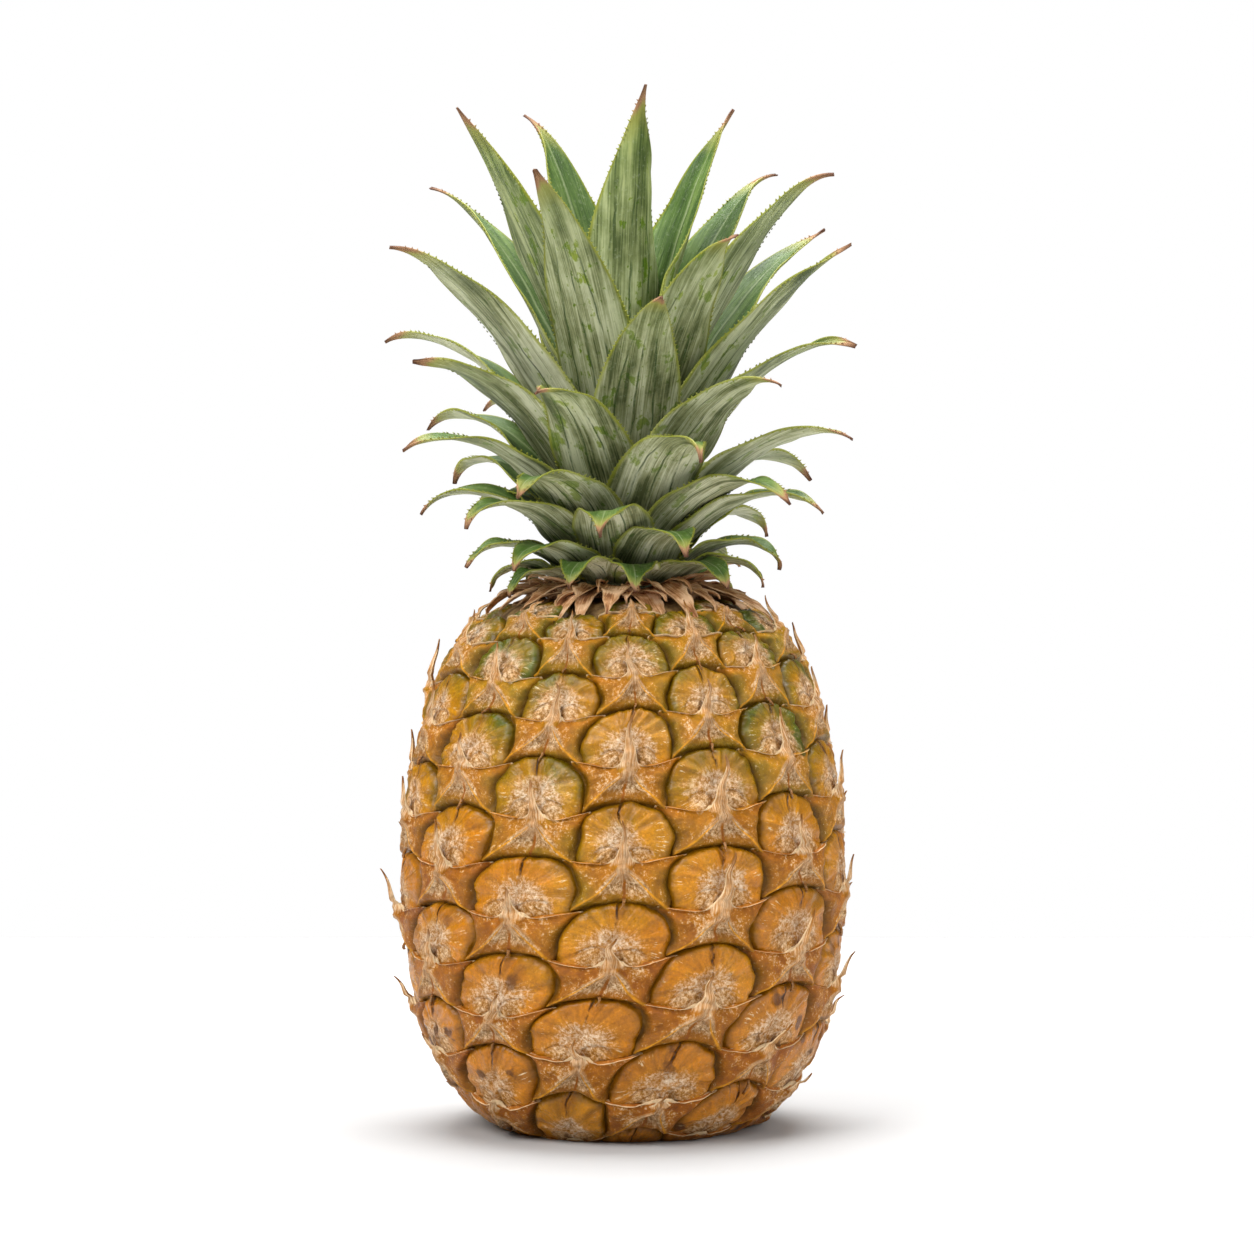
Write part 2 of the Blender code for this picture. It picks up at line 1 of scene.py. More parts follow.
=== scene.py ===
"""The look of a whole fresh pineapple: waxy eyes in spiral rows, dry star-shaped bracts with papery spikes,
a crown of grey-green spined leaves, and a ragged collar of dry flaps, on a plain white table.

Metres, +Z up. The photographed side faces -Y.
"""

import math
import random

import bpy
import numpy as np
from mathutils import Matrix, Vector, noise

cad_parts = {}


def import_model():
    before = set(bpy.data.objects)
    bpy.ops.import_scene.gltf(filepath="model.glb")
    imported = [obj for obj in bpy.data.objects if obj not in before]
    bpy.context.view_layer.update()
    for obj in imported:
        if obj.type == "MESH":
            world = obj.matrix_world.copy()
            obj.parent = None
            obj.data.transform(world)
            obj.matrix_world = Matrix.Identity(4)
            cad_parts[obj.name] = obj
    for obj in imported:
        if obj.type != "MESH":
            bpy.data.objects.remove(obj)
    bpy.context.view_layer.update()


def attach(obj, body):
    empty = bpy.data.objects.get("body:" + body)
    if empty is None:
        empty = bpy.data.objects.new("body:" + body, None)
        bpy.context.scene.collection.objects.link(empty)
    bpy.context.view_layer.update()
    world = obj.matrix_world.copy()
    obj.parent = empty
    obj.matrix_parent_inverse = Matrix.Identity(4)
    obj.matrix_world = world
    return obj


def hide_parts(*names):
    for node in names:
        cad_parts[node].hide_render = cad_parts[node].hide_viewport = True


MM = 0.001

# The photograph: a level view from 1 m, where one pixel covers 0.28 mm at the fruit's axis
PHOTO_SIDE = 1254
PIXEL = 0.28 * MM
AXIS_COLUMN = 623.5
CAMERA_DISTANCE = 1.0
CAMERA_HEIGHT = 139.4 * MM
SENSOR_WIDTH = 36.0

# Light: a dim white room, a wide lamp overhead and one on each side in front; name, place, size, watts
BACKDROP_SEEN = 1.0
ROOM_GLOW = 0.17
TABLE_EDGES = (0.9, -0.9, 0.6)
LAMP_AIM_HEIGHT = 0.12
LAMPS = (("overhead", (0.0, 0.6, 3.0), 2.5, 200.0), ("left_softbox", (-1.9, -2.1, 2.6), 2.1, 132.0),
         ("right_softbox", (2.4, -1.8, 2.2), 2.8, 72.0))

# Fruit: the turned outline under the relief, as (radius, height) in mm
BODY_OUTLINE = ((12, -8), (24, -5), (34.5, 0.5), (46.5, 11), (56.5, 32), (61, 64), (59.3, 95), (53.2, 120),
                (46, 135), (35, 144.2), (22, 148.2), (10, 150))
BODY_TOP = 146 * MM
WIDEST_RADIUS = 61 * MM
OUTLINE_STEPS = 24

# Fruit: the spiral of the eyes, as packed
TURN_PER_EYE = math.radians(55.5)
STEPS_RIGHT = 7
STEPS_LEFT = 6
TURN_RIGHT = STEPS_RIGHT * TURN_PER_EYE - 2 * math.pi
TURN_LEFT = STEPS_LEFT * TURN_PER_EYE - 2 * math.pi
COLUMNS = STEPS_RIGHT + STEPS_LEFT
RISE_PER_EYE = 2.03 * MM
MIDDLE_EYE_HEIGHT = 83 * MM
FIRST_EYE = -55
LAST_EYE = 62
EYE_MARGIN = 24
SHOULDER_HEIGHT = 88 * MM
SHOULDER_SHRINK = 0.8
FOOT_HEIGHT = 40 * MM
FOOT_STRETCH = 0.25
TWIST_BELOW = -6
TWIST_AT_FOOT = math.radians(-16)
TWIST_SPAN = 33
TWIST_POWER = 1.5
SQUEEZE_FROM = -26
SQUEEZE_TO = 34
MOST_SQUEEZE = 0.28
RELIEF_FADE = 9 * MM
RELIEF_AT_RIM = 0.3
TURN_WANDER = 0.05
STEP_WANDER = 0.65
FINE_TURN_WANDER = 0.018
FINE_STEP_WANDER = 0.24
WANDER_PITCH = 1.7
WANDER_SHIFT = Vector((9, 4, 2))
EYE_SIZE_SPREAD = 0.16
SPIKE_LEAN = 2.0
LOWEST_SPIKE = 9 * MM
SHORT_SPIKES_TO = 12 * MM
LONG_SPIKES_FROM = 68 * MM
LOWEST_SPUR = 32 * MM
FIRST_EYE_SEED = 1000
TO_RIGHT_NEIGHBOUR = (27.1, 13.9)
TO_LEFT_NEIGHBOUR = (-26.3, 12.0)
GRID = np.array((TO_RIGHT_NEIGHBOUR, TO_LEFT_NEIGHBOUR)).T

# One eye laid flat, in mm from the middle of its dome, with x to the right and y up
DOME_MIDDLE = (0.0, 1.4)
DOME_RIM = ((-13.6, -6.6), (-14.6, -1.6), (-13.9, 2.8), (-11.4, 6.4), (-6.2, 9.3), (0.3, 10.3), (6.6, 9.6),
            (12.0, 7.2), (14.4, 3.4), (14.8, -1.0), (13.8, -6.0), (6.8, -8.8), (0.0, -8.6), (-6.8, -8.8))
DOME_SKIRT = 1.6
DOME_DROP = 1.7
ROLL_FROM = 0.80
CUSHION_RISE = (0.45, 0.65)
NAVEL = (0.1, 1.2)
NAVEL_RADIUS = 2.2
NAVEL_DEPTH = 1.2
SHELL = (4.6, -4.4)
SHELL_REACH = (3.0, 2.1)
SHELL_RISE = 0.12
SHELL_RIM_DEPTH = 0.28
CREASE_DEPTH = 0.75
LOBE_SWELL = 0.55
LOBE_SHARE = 0.10
DOME_RINGS = 20
DOME_SECTORS = 72
STAR_MIDDLE = (0.0, -6.4)
LEFT_WING = (-17.4, -4.5)
RIGHT_WING = (17.4, -3.8)
LOW_LEFT = (-12.4, -17.6)
LOW_RIGHT = (11.6, -17.4)
# Stretches of the bract's edge, round from the left wing tip by the foot: points and cells of each
STAR_EDGE = (
    ("groove", (LEFT_WING, (-14.2, -7.9), (-12.5, -11.3), (-12.0, -14.0), LOW_LEFT), 16),
    ("groove", (LOW_LEFT, (-9.6, -17.0), (-5.8, -16.5), (-0.5, -16.2), (5.0, -16.4), (8.8, -16.8),
                LOW_RIGHT), 20),
    ("groove", (LOW_RIGHT, (11.7, -13.8), (12.2, -10.8), (14.0, -7.2), RIGHT_WING), 16),
    ("free", (RIGHT_WING, (11.6, -5.0), (7.0, -6.0), (4.4, -6.0), (2.7, -4.8)), 14),
    ("spike", ((2.7, -4.8), (0.0, -4.2), (-2.7, -4.8)), 4),
    ("free", ((-2.7, -4.8), (-4.4, -6.0), (-7.0, -6.1), (-11.6, -5.5), LEFT_WING), 14),
)
STAR_RINGS = 16
RIDGE_BOW = 1.17
RIDGE_HEIGHT = (2.4, 1.3)
RIDGE_INNER_SIDE = 0.95
RIDGE_OUTER_SIDE = 2.2
WING_SWELL = 0.9
FORK_DEPTH = 0.55
FREE_EDGE_FLARE = 0.9
SPIKE_FOOT_TUCK = 0.8
GROOVE_DEPTH = 1.6
FREE_EDGE_THICKNESS = 0.45
FREE_EDGE_TUCK = 1.6
STAR_SKIRT_DROP = 0.8
DOME_SKIRT_DROP = 0.6
UNDER_SKIN_DROP = 0.4
PRESSED_HEIGHT = 0.1 * MM
WING_LINE = -6.0
SPIKE_FREE_FROM = -4.6
SPUR_FROM = -14.6
SPUR_CHANCE = 0.7
# The spike: its half width at shares of its length from the wing line up
SPIKE_SHAPE = ((-0.30, 1.6), (-0.12, 2.6), (0.0, 3.4), (0.10, 2.5), (0.24, 1.8), (0.36, 1.3), (0.52, 0.9),
               (0.78, 0.5), (1.0, 0.14))
SPIKE_LENGTH = 11.2
SPIKE_THICKNESS = 0.30
SPIKE_ROWS = 22
SPIKE_COLUMNS = 8
SPUR_HALF_WIDTH = 0.42
SPUR_THICKNESS = 0.5
SPUR_ROWS = 4

# Turned outlines, radius and height in mm: the stalk's end, the hollow round it, the top under the crown
STALK_OUTLINE = ((0.2, 0.9), (3, 0.8), (7, 0.4), (10.4, 0.05), (11.5, 0.2), (11.95, 0.9), (11.9, 3),
                 (11.9, 5.6), (0.2, 5.7))
HOLLOW_OUTLINE = ((0.3, 6), (12.3, 6), (12.3, 0.9), (13.1, 0.4), (24, 0.4))
TOP_OUTLINE = ((25.5, 146.3), (23, 147.3), (22, 147.1), (21.7, 146), (0.5, 146))
STEM_FOOT = BODY_TOP + 0.3 * MM
STEM_OUTLINE = ((17.0, 146.3), (17.0, 152), (13.0, 169), (8.0, 188), (2.0, 202), (0.1, 202.5))

# Crown: level, root radius, root height, lean at the root, lean at the tip, length, half width (mm, degrees)
LEAF_STAGES = (
    (0.00, 14.5, 149.5, 60, 174, 26, 7.5),
    (0.12, 14.0, 152.0, 50, 158, 36, 10.2),
    (0.25, 12.8, 157.5, 44, 134, 53, 12.5),
    (0.37, 11.6, 162.5, 38, 122, 67, 13.2),
    (0.52, 9.8, 170.0, 32, 90, 80, 13.0),
    (0.67, 8.0, 177.0, 26, 72, 96, 12.4),
    (0.79, 6.4, 183.0, 20, 62, 102, 11.8),
    (0.90, 4.8, 189.0, 14, 52, 105, 11.2),
    (1.00, 2.5, 196.0, 3, 8, 94, 10.8),
)
LEAN_POWER = 2.0
# Leaves seen in the photograph, as (degrees to the right of the front, level, share of the level's width,
# share of its length, degrees added to its lean at the root, and at the tip)
SEEN_LEAVES = (
    (34, 1.00, 1.60, 0.98, 0, 0), (-127, 0.945, 1.50, 1.0, 0, 2), (121, 0.955, 1.50, 1.0, 4, 4),
    (-55, 0.90, 1.55, 1.01, 10, -12), (-118, 0.80, 1.50, 1.0, 3, -4), (-60, 0.65, 1.0, 0.98, 3, -5),
    (-24, 0.80, 1.12, 0.95, 4, -4), (131, 0.885, 1.30, 0.98, 5, -2), (66, 0.82, 1.15, 1.0, 6, -5),
    (126, 0.735, 1.35, 1.0, 6, 0), (63, 0.665, 1.05, 0.96, 6, -9), (27, 0.70, 1.10, 0.93, 2, 0),
    (8, 0.57, 1.0, 0.98, 0, 0), (-108, 0.56, 1.15, 1.02, 0, 7), (-61, 0.50, 1.0, 0.97, 0, 0),
    (66, 0.525, 1.10, 1.0, 0, 3), (37, 0.46, 0.95, 1.0, 0, 0), (-18, 0.43, 0.95, 1.0, 0, 0),
    (19, 0.345, 1.0, 1.0, 0, 0), (-121, 0.43, 1.30, 1.0, 0, 0), (-68, 0.375, 1.05, 0.97, 0, 0),
    (68, 0.385, 1.0, 0.95, 6, -16), (122, 0.36, 1.20, 0.95, 0, 10), (-129, 0.335, 1.25, 1.0, 0, 0),
    (-104, 0.255, 1.15, 1.0, 0, 0), (-51, 0.22, 1.0, 1.0, 0, 0), (-28, 0.28, 1.0, 1.0, 0, 0),
    (47, 0.28, 1.0, 1.0, 0, 10), (73, 0.25, 1.05, 1.0, 0, 0), (-6, 0.19, 1.0, 1.06, 0, 0),
    (21, 0.155, 1.0, 1.0, 0, 0), (-78, 0.13, 1.0, 0.95, 0, 0), (-43, 0.12, 1.0, 1.0, 0, 0),
    (83, 0.14, 1.20, 0.95, 0, 6), (-22, 0.05, 1.0, 1.0, 0, 0), (5, 0.035, 1.0, 1.0, 0, 0),
    (45, 0.05, 1.0, 1.0, 0, 0), (72, 0.06, 1.0, 1.0, 0, 0), (-76, 0.04, 1.0, 1.0, 0, 0),
    (-58, 0.01, 1.0, 1.0, 0, 0),
)
PAIRED_WITHIN = 60
PAIRED_BELOW = 0.75
LEAF_CUP = 0.38
MOST_CUP = 1.1
WIDEST_AT = 0.30
ROOT_WIDTH = 0.72
TIP_WIDTH = 0.03
TAPER_START = 1.75
TAPER_END = 1.3
LEAF_SWAY = 3 * MM
LEAF_ROLL = math.radians(18)
LEAF_STRETCH = 0.03
LEAF_SEED = 11
LEAF_ROWS = 64
LEAF_COLUMNS = 14
BEND_PARTS = 6
HOOK_FROM = 0.82
TWIST_FROM = 0.8
TIP_CURL = 0.35
MIDRIB_THICKNESS = 1.3 * MM
MARGIN_THICKNESS = 0.35 * MM
TOOTH_SPACING = 1.55 * MM
TOOTH_HEIGHT = 0.55 * MM
TOOTH_ROOT = 0.42 * MM
TOOTH_FLANK = 0.20 * MM
TOOTH_HOOK = 0.35 * MM
TOOTH_SUNK = 0.25 * MM
FIRST_TOOTH = 0.10
TOOTHED_SHARE = 0.86

# Collar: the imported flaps, and the thinner shreds between them
FLAP_COUNT = 14
FLAP_ROOT = 19.5 * MM
COLLAR_HEIGHT = 2.4 * MM
FLAP_CUP = 0.5
FLAP_ROOT_LEAN = (70, 80)
FLAP_TIP_LEAN = (115, 135)
FLAP_LENGTH = (13, 17)
FLAP_HALF_WIDTH = (2.8, 4.0)
FLAP_ROLL = math.radians(20)
FLAP_SHIFT = 0.25
FLAP_SEED = 5
FLAP_ROWS = 22
FLAP_COLUMNS = 8
SHRED_SEED = 23
# Broad drapes over the shoulder, then narrow shreds that stand out: rows along each, how far each strays from
# its place round the ring, then the spread of its leans (degrees), root, length, half width (mm), cup, turns
DRAPES = dict(rows=24, stray=0.35, root_lean=(94, 112), tip_lean=(126, 152), radius=(18.5, 20.5),
              height=(149.0, 151.5), length=(18, 27), half_width=(4.2, 6.8), cup=(0.3, 0.9), roll=0.5,
              hook=(-0.8, 1.0), twist=1.2)
SHREDS = dict(rows=18, stray=0.5, root_lean=(40, 85), tip_lean=(100, 170), radius=(17.5, 20.5),
              height=(147.2, 151.5), length=(10, 17), half_width=(1.0, 2.4), cup=(0.4, 1.1), roll=0.9,
              hook=(-0.8, 1.6), twist=1.6)
STRIPS_IN_RING = 22
STRIP_SWAY = 3
COLLAR_BAND = ((17.3, 146.3), (21.4, 146.3), (21.5, 147.8), (19.5, 149.0), (17.3, 148.7))


def smooth_step(value):
    value = np.clip(value, 0.0, 1.0)
    return value * value * (3 - 2 * value)


def smooth_line(points, steps):
    """Points along a Catmull-Rom curve through the given points."""
    points = np.array(points, dtype=float)
    ends = (2 * points[0] - points[1], 2 * points[-1] - points[-2])
    padded = np.vstack((ends[0], points, ends[1]))
    line = []
    for index in range(1, len(padded) - 2):
        before, start, end, after = padded[index - 1:index + 3]
        for step in range(steps):
            t = step / steps
            line.append(0.5 * (2 * start + (end - before) * t
                               + (2 * before - 5 * start + 4 * end - after) * t ** 2
                               + (3 * start - before - 3 * end + after) * t ** 3))
    line.append(points[-1])
    return np.array(line)


def lumps(places, seed=0.0):
    """Smooth noise from -1 to 1 at each place."""
    shift = Vector((seed, seed * 0.37, -seed * 0.71))
    return np.array([noise.noise(Vector(place) + shift) for place in places])


def places_of(x, y, pitch, level):
    """Places for smooth noise over a flat pattern: its pitch in mm, and a level of its own for each eye."""
    return np.column_stack((x / pitch, y / pitch, np.full(len(x), level)))


class Body:
    """The fruit's turned outline, by distance along it, and the spiral of eyes on it."""

    def __init__(self):
        line = smooth_line(BODY_OUTLINE, OUTLINE_STEPS) * MM
        runs = np.linalg.norm(np.diff(line, axis=0), axis=1)
        self.distance = np.concatenate(([0.0], np.cumsum(runs)))
        self.radius = line[:, 0]
        self.height = line[:, 1]
        slope = np.gradient(line, self.distance, axis=0)
        self.out_radial = slope[:, 1]
        self.out_up = -slope[:, 0]
        self.foot = np.interp(0.0, self.height, self.distance)
        self.top = np.interp(BODY_TOP, self.height, self.distance)
        self.eyes = np.arange(FIRST_EYE - EYE_MARGIN, LAST_EYE + EYE_MARGIN)
        self.eye_distance = self.spread_eyes()

    def rise_at(self, distance):
        """Height of one step of the spiral: longer at the foot, shorter over the shoulder."""
        radius = np.interp(distance, self.distance, self.radius)
        height = np.interp(distance, self.distance, self.height)
        if height > SHOULDER_HEIGHT:
            return RISE_PER_EYE * (radius / WIDEST_RADIUS) ** SHOULDER_SHRINK
        return RISE_PER_EYE * (1 + FOOT_STRETCH * smooth_step(1 - height / FOOT_HEIGHT))

    def spread_eyes(self):
        where = {0: float(np.interp(MIDDLE_EYE_HEIGHT, self.height, self.distance))}
        for eye in range(1, int(self.eyes[-1]) + 1):
            where[eye] = where[eye - 1] + self.rise_at(where[eye - 1])
        for eye in range(-1, int(self.eyes[0]) - 1, -1):
            where[eye] = where[eye + 1] - self.rise_at(where[eye + 1])
        return np.array([where[int(eye)] for eye in self.eyes])

    def fade(self, distance):
        """How much of its relief the skin keeps: less towards the foot and the top."""
        near = np.minimum(distance - self.foot, self.top - distance)
        return RELIEF_AT_RIM + (1 - RELIEF_AT_RIM) * smooth_step(near / RELIEF_FADE)

    def points(self, eye, flat, lift):
        """Where points of one eye's flat pattern lie on the fruit, lifted off its outline."""
        right, left = np.linalg.solve(GRID, flat.T)
        step = eye + STEPS_RIGHT * right + STEPS_LEFT * left
        turn = eye * TURN_PER_EYE + TURN_RIGHT * right + TURN_LEFT * left
        places = WANDER_PITCH * np.stack((np.sin(turn), -np.cos(turn), step / COLUMNS), axis=1)
        turn = turn + TURN_WANDER * lumps(places)
        step = step + STEP_WANDER * np.array([noise.noise(Vector(place) + WANDER_SHIFT) for place in places])
        turn = turn + FINE_TURN_WANDER * lumps(3 * places, 4.0)
        step = step + FINE_STEP_WANDER * lumps(3 * places, 11.0)
        squeeze = MOST_SQUEEZE * smooth_step((step - SQUEEZE_FROM) / (SQUEEZE_TO - SQUEEZE_FROM))
        twist = TWIST_AT_FOOT * (np.maximum(TWIST_BELOW - step, 0.0) / TWIST_SPAN) ** TWIST_POWER
        around = turn - squeeze * np.sin(turn) + twist
        distance = np.interp(step, self.eyes, self.eye_distance)
        lift = lift * self.fade(distance) * MM
        radius = np.interp(distance, self.distance, self.radius)
        height = np.interp(distance, self.distance, self.height)
        radius = radius + lift * np.interp(distance, self.distance, self.out_radial)
        height = height + lift * np.interp(distance, self.distance, self.out_up)
        return np.stack((radius * np.sin(around), -radius * np.cos(around), height), axis=1)


class Sheet:
    """Points, faces and named fields of one piece, gathered part by part."""

    def __init__(self):
        self.points = []
        self.faces = []
        self.fields = {}
        self.count = 0

    def add(self, points, faces, **fields):
        self.points.append(np.asarray(points, dtype=float))
        self.faces += [tuple(corner + self.count for corner in face) for face in faces]
        self.count += len(points)
        for name, values in fields.items():
            self.fields.setdefault(name, []).append(np.asarray(values, dtype=float))

    def piece(self, name, material, slot, node):
        """The finished piece, smooth shaded, riding on the fruit in place of its plain solid."""
        mesh = bpy.data.meshes.new(name)
        mesh.from_pydata(np.concatenate(self.points).tolist(), [], self.faces)
        for field, parts in self.fields.items():
            values = np.concatenate(parts)
            vector = values.ndim == 2
            attribute = mesh.attributes.new(field, "FLOAT_VECTOR" if vector else "FLOAT", "POINT")
            attribute.data.foreach_set("vector" if vector else "value", values.astype(np.float32).ravel())
        mesh.materials.append(material)
        mesh.shade_smooth()
        thing = bpy.data.objects.new(name, mesh)
        bpy.context.scene.collection.objects.link(thing)
        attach(thing, "root")
        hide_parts(node)
        return thing


def linear(colour):
    """A scene colour from an sRGB hex value such as c98a14."""
    channels = [int(colour[start:start + 2], 16) / 255 for start in (0, 2, 4)]
    return (*[c / 12.92 if c <= 0.04045 else ((c + 0.055) / 1.055) ** 2.4 for c in channels], 1.0)


def add(tree, kind, inputs, **settings):
    """One node, with its settings and with a value or a link for each input named or numbered."""
    made = tree.nodes.new("ShaderNode" + kind)
    for name, value in settings.items():
        setattr(made, name, value)
    for key, value in inputs.items():
        if isinstance(key, int):
            socket = made.inputs[key]
        else:
            socket = next(one for one in made.inputs if one.enabled and one.name == key)
        if isinstance(value, bpy.types.Node):
            value = next(one for one in value.outputs if one.enabled)
        if isinstance(value, bpy.types.NodeSocket):
            tree.links.new(value, socket)
        elif isinstance(value, str):
            socket.default_value = linear(value)
        else:
            socket.default_value = value
    return made


def new_material(name, roughness, ior):
    """A material with its tree, its shader and the place on the fruit."""
    material = bpy.data.materials.new(name)
    material.use_nodes = True
    tree = material.node_tree
    shader = tree.nodes["Principled BSDF"]
    shader.inputs["Roughness"].default_value = roughness
    shader.inputs["IOR"].default_value = ior
    shader.inputs["Metallic"].default_value = 0.0
    return material, tree, shader, add(tree, "TexCoord", {}).outputs["Object"]


def set_stops(ramp, stops):
    """Colour stops of a ramp, as (position, hex colour)."""
    elements = ramp.color_ramp.elements
    while len(elements) < len(stops):
        elements.new(0.5)
    for element, (position, colour) in zip(elements, stops):
        element.position = position
        element.color = linear(colour)


def surface(tree, shader, colour, rough, relief, strength, depth):
    """What the shader gets: its colour, its roughness, and its relief with a depth in millimetres."""
    tree.links.new(next(one for one in colour.outputs if one.enabled), shader.inputs["Base Color"])
    tree.links.new(rough.outputs[0], shader.inputs["Roughness"])
    bump = add(tree, "Bump", {"Height": relief, "Strength": strength, "Distance": depth * MM})
    tree.links.new(bump.outputs["Normal"], shader.inputs["Normal"])
    return bump


def waxy_rind():
    """Ripe pineapple rind: a tough skin with natural wax, wrinkled towards its rim and chalky in the middle.

    The eye sees orange to olive wax with small wet glints, a dry, cream, streaked middle and a dark groove.
    """
    material, tree, shader, place = new_material("waxy_rind", 0.4, 1.45)
    shader.inputs["Coat Weight"].default_value = 0.12
    shader.inputs["Coat Roughness"].default_value = 0.12
    shader.inputs["Specular IOR Level"].default_value = 0.4
    height = add(tree, "SeparateXYZ", {"Vector": place}).outputs["Z"]
    spot, zone = (add(tree, "Attribute", {}, attribute_name=name).outputs["Vector"]
                  for name in ("spot", "zone"))
    right, up, _ = add(tree, "SeparateXYZ", {"Vector": spot}).outputs
    rim, chance, _ = add(tree, "SeparateXYZ", {"Vector": zone}).outputs
    aside = add(tree, "Math", {0: right}, operation="ABSOLUTE")

    # Patches 28 mm and 8 mm wide, mottling of 2.8 mm and pores of 0.9 mm
    broad, patchy, mottle, pores = (
        add(tree, "TexNoise",
            {"Vector": place, "Scale": 1 / (wide * MM), "Detail": detail, "Roughness": rough})
        for wide, detail, rough in ((28, 2, 0.5), (8, 4, 0.6), (2.8, 4, 0.65), (0.9, 4, 0.75)))

    # Ripeness: green at the shoulder to orange at the foot, in patches, greener at the rim
    ripe = add(tree, "MapRange", {"Value": height, "From Min": 150 * MM, "From Max": 35 * MM,
                                  "To Min": -0.84, "To Max": 0.02})
    for field, share in ((broad, 1.1), (patchy, 0.75), (chance, 0.36)):
        ripe = add(tree, "Math", {0: field, 1: share, 2: ripe}, operation="MULTIPLY_ADD")
    greener = add(tree, "MapRange", {"Value": rim, "From Min": 0.80, "From Max": 1.0, "To Max": -0.14})
    ripe = add(tree, "Math", {0: ripe, 1: greener}, operation="ADD", use_clamp=True)
    wax = add(tree, "ValToRGB", {"Fac": ripe})
    set_stops(wax, ((0.0, "25400a"), (0.20, "555a06"), (0.40, "8a6a04"), (0.60, "ae7600"), (0.82, "c27e00"),
                    (1.0, "be7400")))

    # Streaks that run out from the middle of the dome, 1.4 mm and 0.6 mm wide at its rim
    middle = (DOME_MIDDLE[0], DOME_MIDDLE[1] - 1.0, 0.0)
    radial = add(tree, "VectorMath", {0: spot, 1: middle}, operation="SUBTRACT")
    radial = add(tree, "VectorMath", {0: radial}, operation="NORMALIZE")
    radial = add(tree, "VectorMath", {0: radial, 1: (9.0, 9.0, 9.0)}, operation="MULTIPLY")
    deep = add(tree, "Math", {0: rim, 1: 2.2}, operation="MULTIPLY")
    deep = add(tree, "CombineXYZ", {"Z": deep})
    own = add(tree, "CombineXYZ", {"X": chance, "Z": chance})
    own = add(tree, "VectorMath", {0: own, 1: (37.0, 0.0, 53.0)}, operation="MULTIPLY")
    for shift in (deep, own):
        radial = add(tree, "VectorMath", {0: radial, 1: shift}, operation="ADD")
    lobes, streak, fine_streak = (
        add(tree, "TexNoise", {"Vector": radial, "Scale": scale, "Detail": detail, "Roughness": rough})
        for scale, detail, rough in ((0.34, 2, 0.5), (1.1, 4, 0.65), (2.6, 3, 0.7)))

    # Red-brown stain round the crack at the top of the dome
    stain = add(tree, "Math", {0: patchy, 1: 9.0, 2: aside}, operation="MULTIPLY_ADD")
    stain = add(tree, "MapRange", {"Value": stain, "From Min": 6.6, "From Max": 4.4, "To Max": 0.45})
    upward = add(tree, "MapRange", {"Value": up, "From Min": 3.5, "From Max": 6.5})
    stain = add(tree, "Math", {0: stain, 1: upward}, operation="MULTIPLY")

    # The chalky middle, 17 mm by 13 mm from the bract up, broken by patches, mottling, streaks and pores
    wide = add(tree, "Math", {0: right, 1: 1 / 9.5}, operation="MULTIPLY")
    along = add(tree, "Math", {0: up, 1: 1 / 7.4, 2: 2.4 / 7.4}, operation="MULTIPLY_ADD")
    spread = add(tree, "CombineXYZ", {"X": wide, "Y": along})
    spread = add(tree, "VectorMath", {0: spread}, operation="LENGTH").outputs["Value"]
    reach = -0.60
    for field, share in ((streak, 0.40), (mottle, 0.85), (patchy, 0.6), (spread, 0.70)):
        reach = add(tree, "Math", {0: field, 1: share, 2: reach}, operation="MULTIPLY_ADD")
    bloom = add(tree, "MapRange", {"Value": reach, "From Min": 1.20, "From Max": 0.76},
                interpolation_type="SMOOTHSTEP")
    gaps = add(tree, "MapRange", {"Value": pores, "From Min": 0.38, "From Max": 0.54,
                                  "To Min": 0.66, "To Max": 0.97})
    bloom = add(tree, "Math", {0: bloom, 1: gaps}, operation="MULTIPLY")
    chalk = 0.0
    for field, share in ((fine_streak, 0.25), (mottle, 0.35), (pores, 0.40)):
        chalk = add(tree, "Math", {0: field, 1: share, 2: chalk}, operation="MULTIPLY_ADD")
    chalk = add(tree, "ValToRGB", {"Fac": chalk})
    set_stops(chalk, ((0.38, "a4744c"), (0.475, "cba684"), (0.58, "ecdac4")))

    # Painted shade: a dark brown spot close beside the foot of the spike, 2 mm across, on one side or the
    # other, where the hollow there lies in shadow
    beside = add(tree, "Math", {0: chance, 1: 0.5}, operation="GREATER_THAN")
    beside = add(tree, "Math", {0: beside, 1: -4.8, 2: 2.4}, operation="MULTIPLY_ADD")
    beside = add(tree, "Math", {0: right, 1: beside}, operation="ADD")
    above = add(tree, "Math", {0: up, 1: 0.62, 2: 2.3}, operation="MULTIPLY_ADD")
    painted_hollow_shade = add(tree, "CombineXYZ", {"X": beside, "Y": above})
    painted_hollow_shade = add(tree, "VectorMath", {0: painted_hollow_shade}, operation="LENGTH").outputs["Value"]
    painted_hollow_shade = add(tree, "Math", {0: patchy, 1: 3.0, 2: painted_hollow_shade}, operation="MULTIPLY_ADD")
    painted_hollow_shade = add(tree, "MapRange", {"Value": painted_hollow_shade, "From Min": 2.9, "From Max": 2.0, "To Max": 0.85})

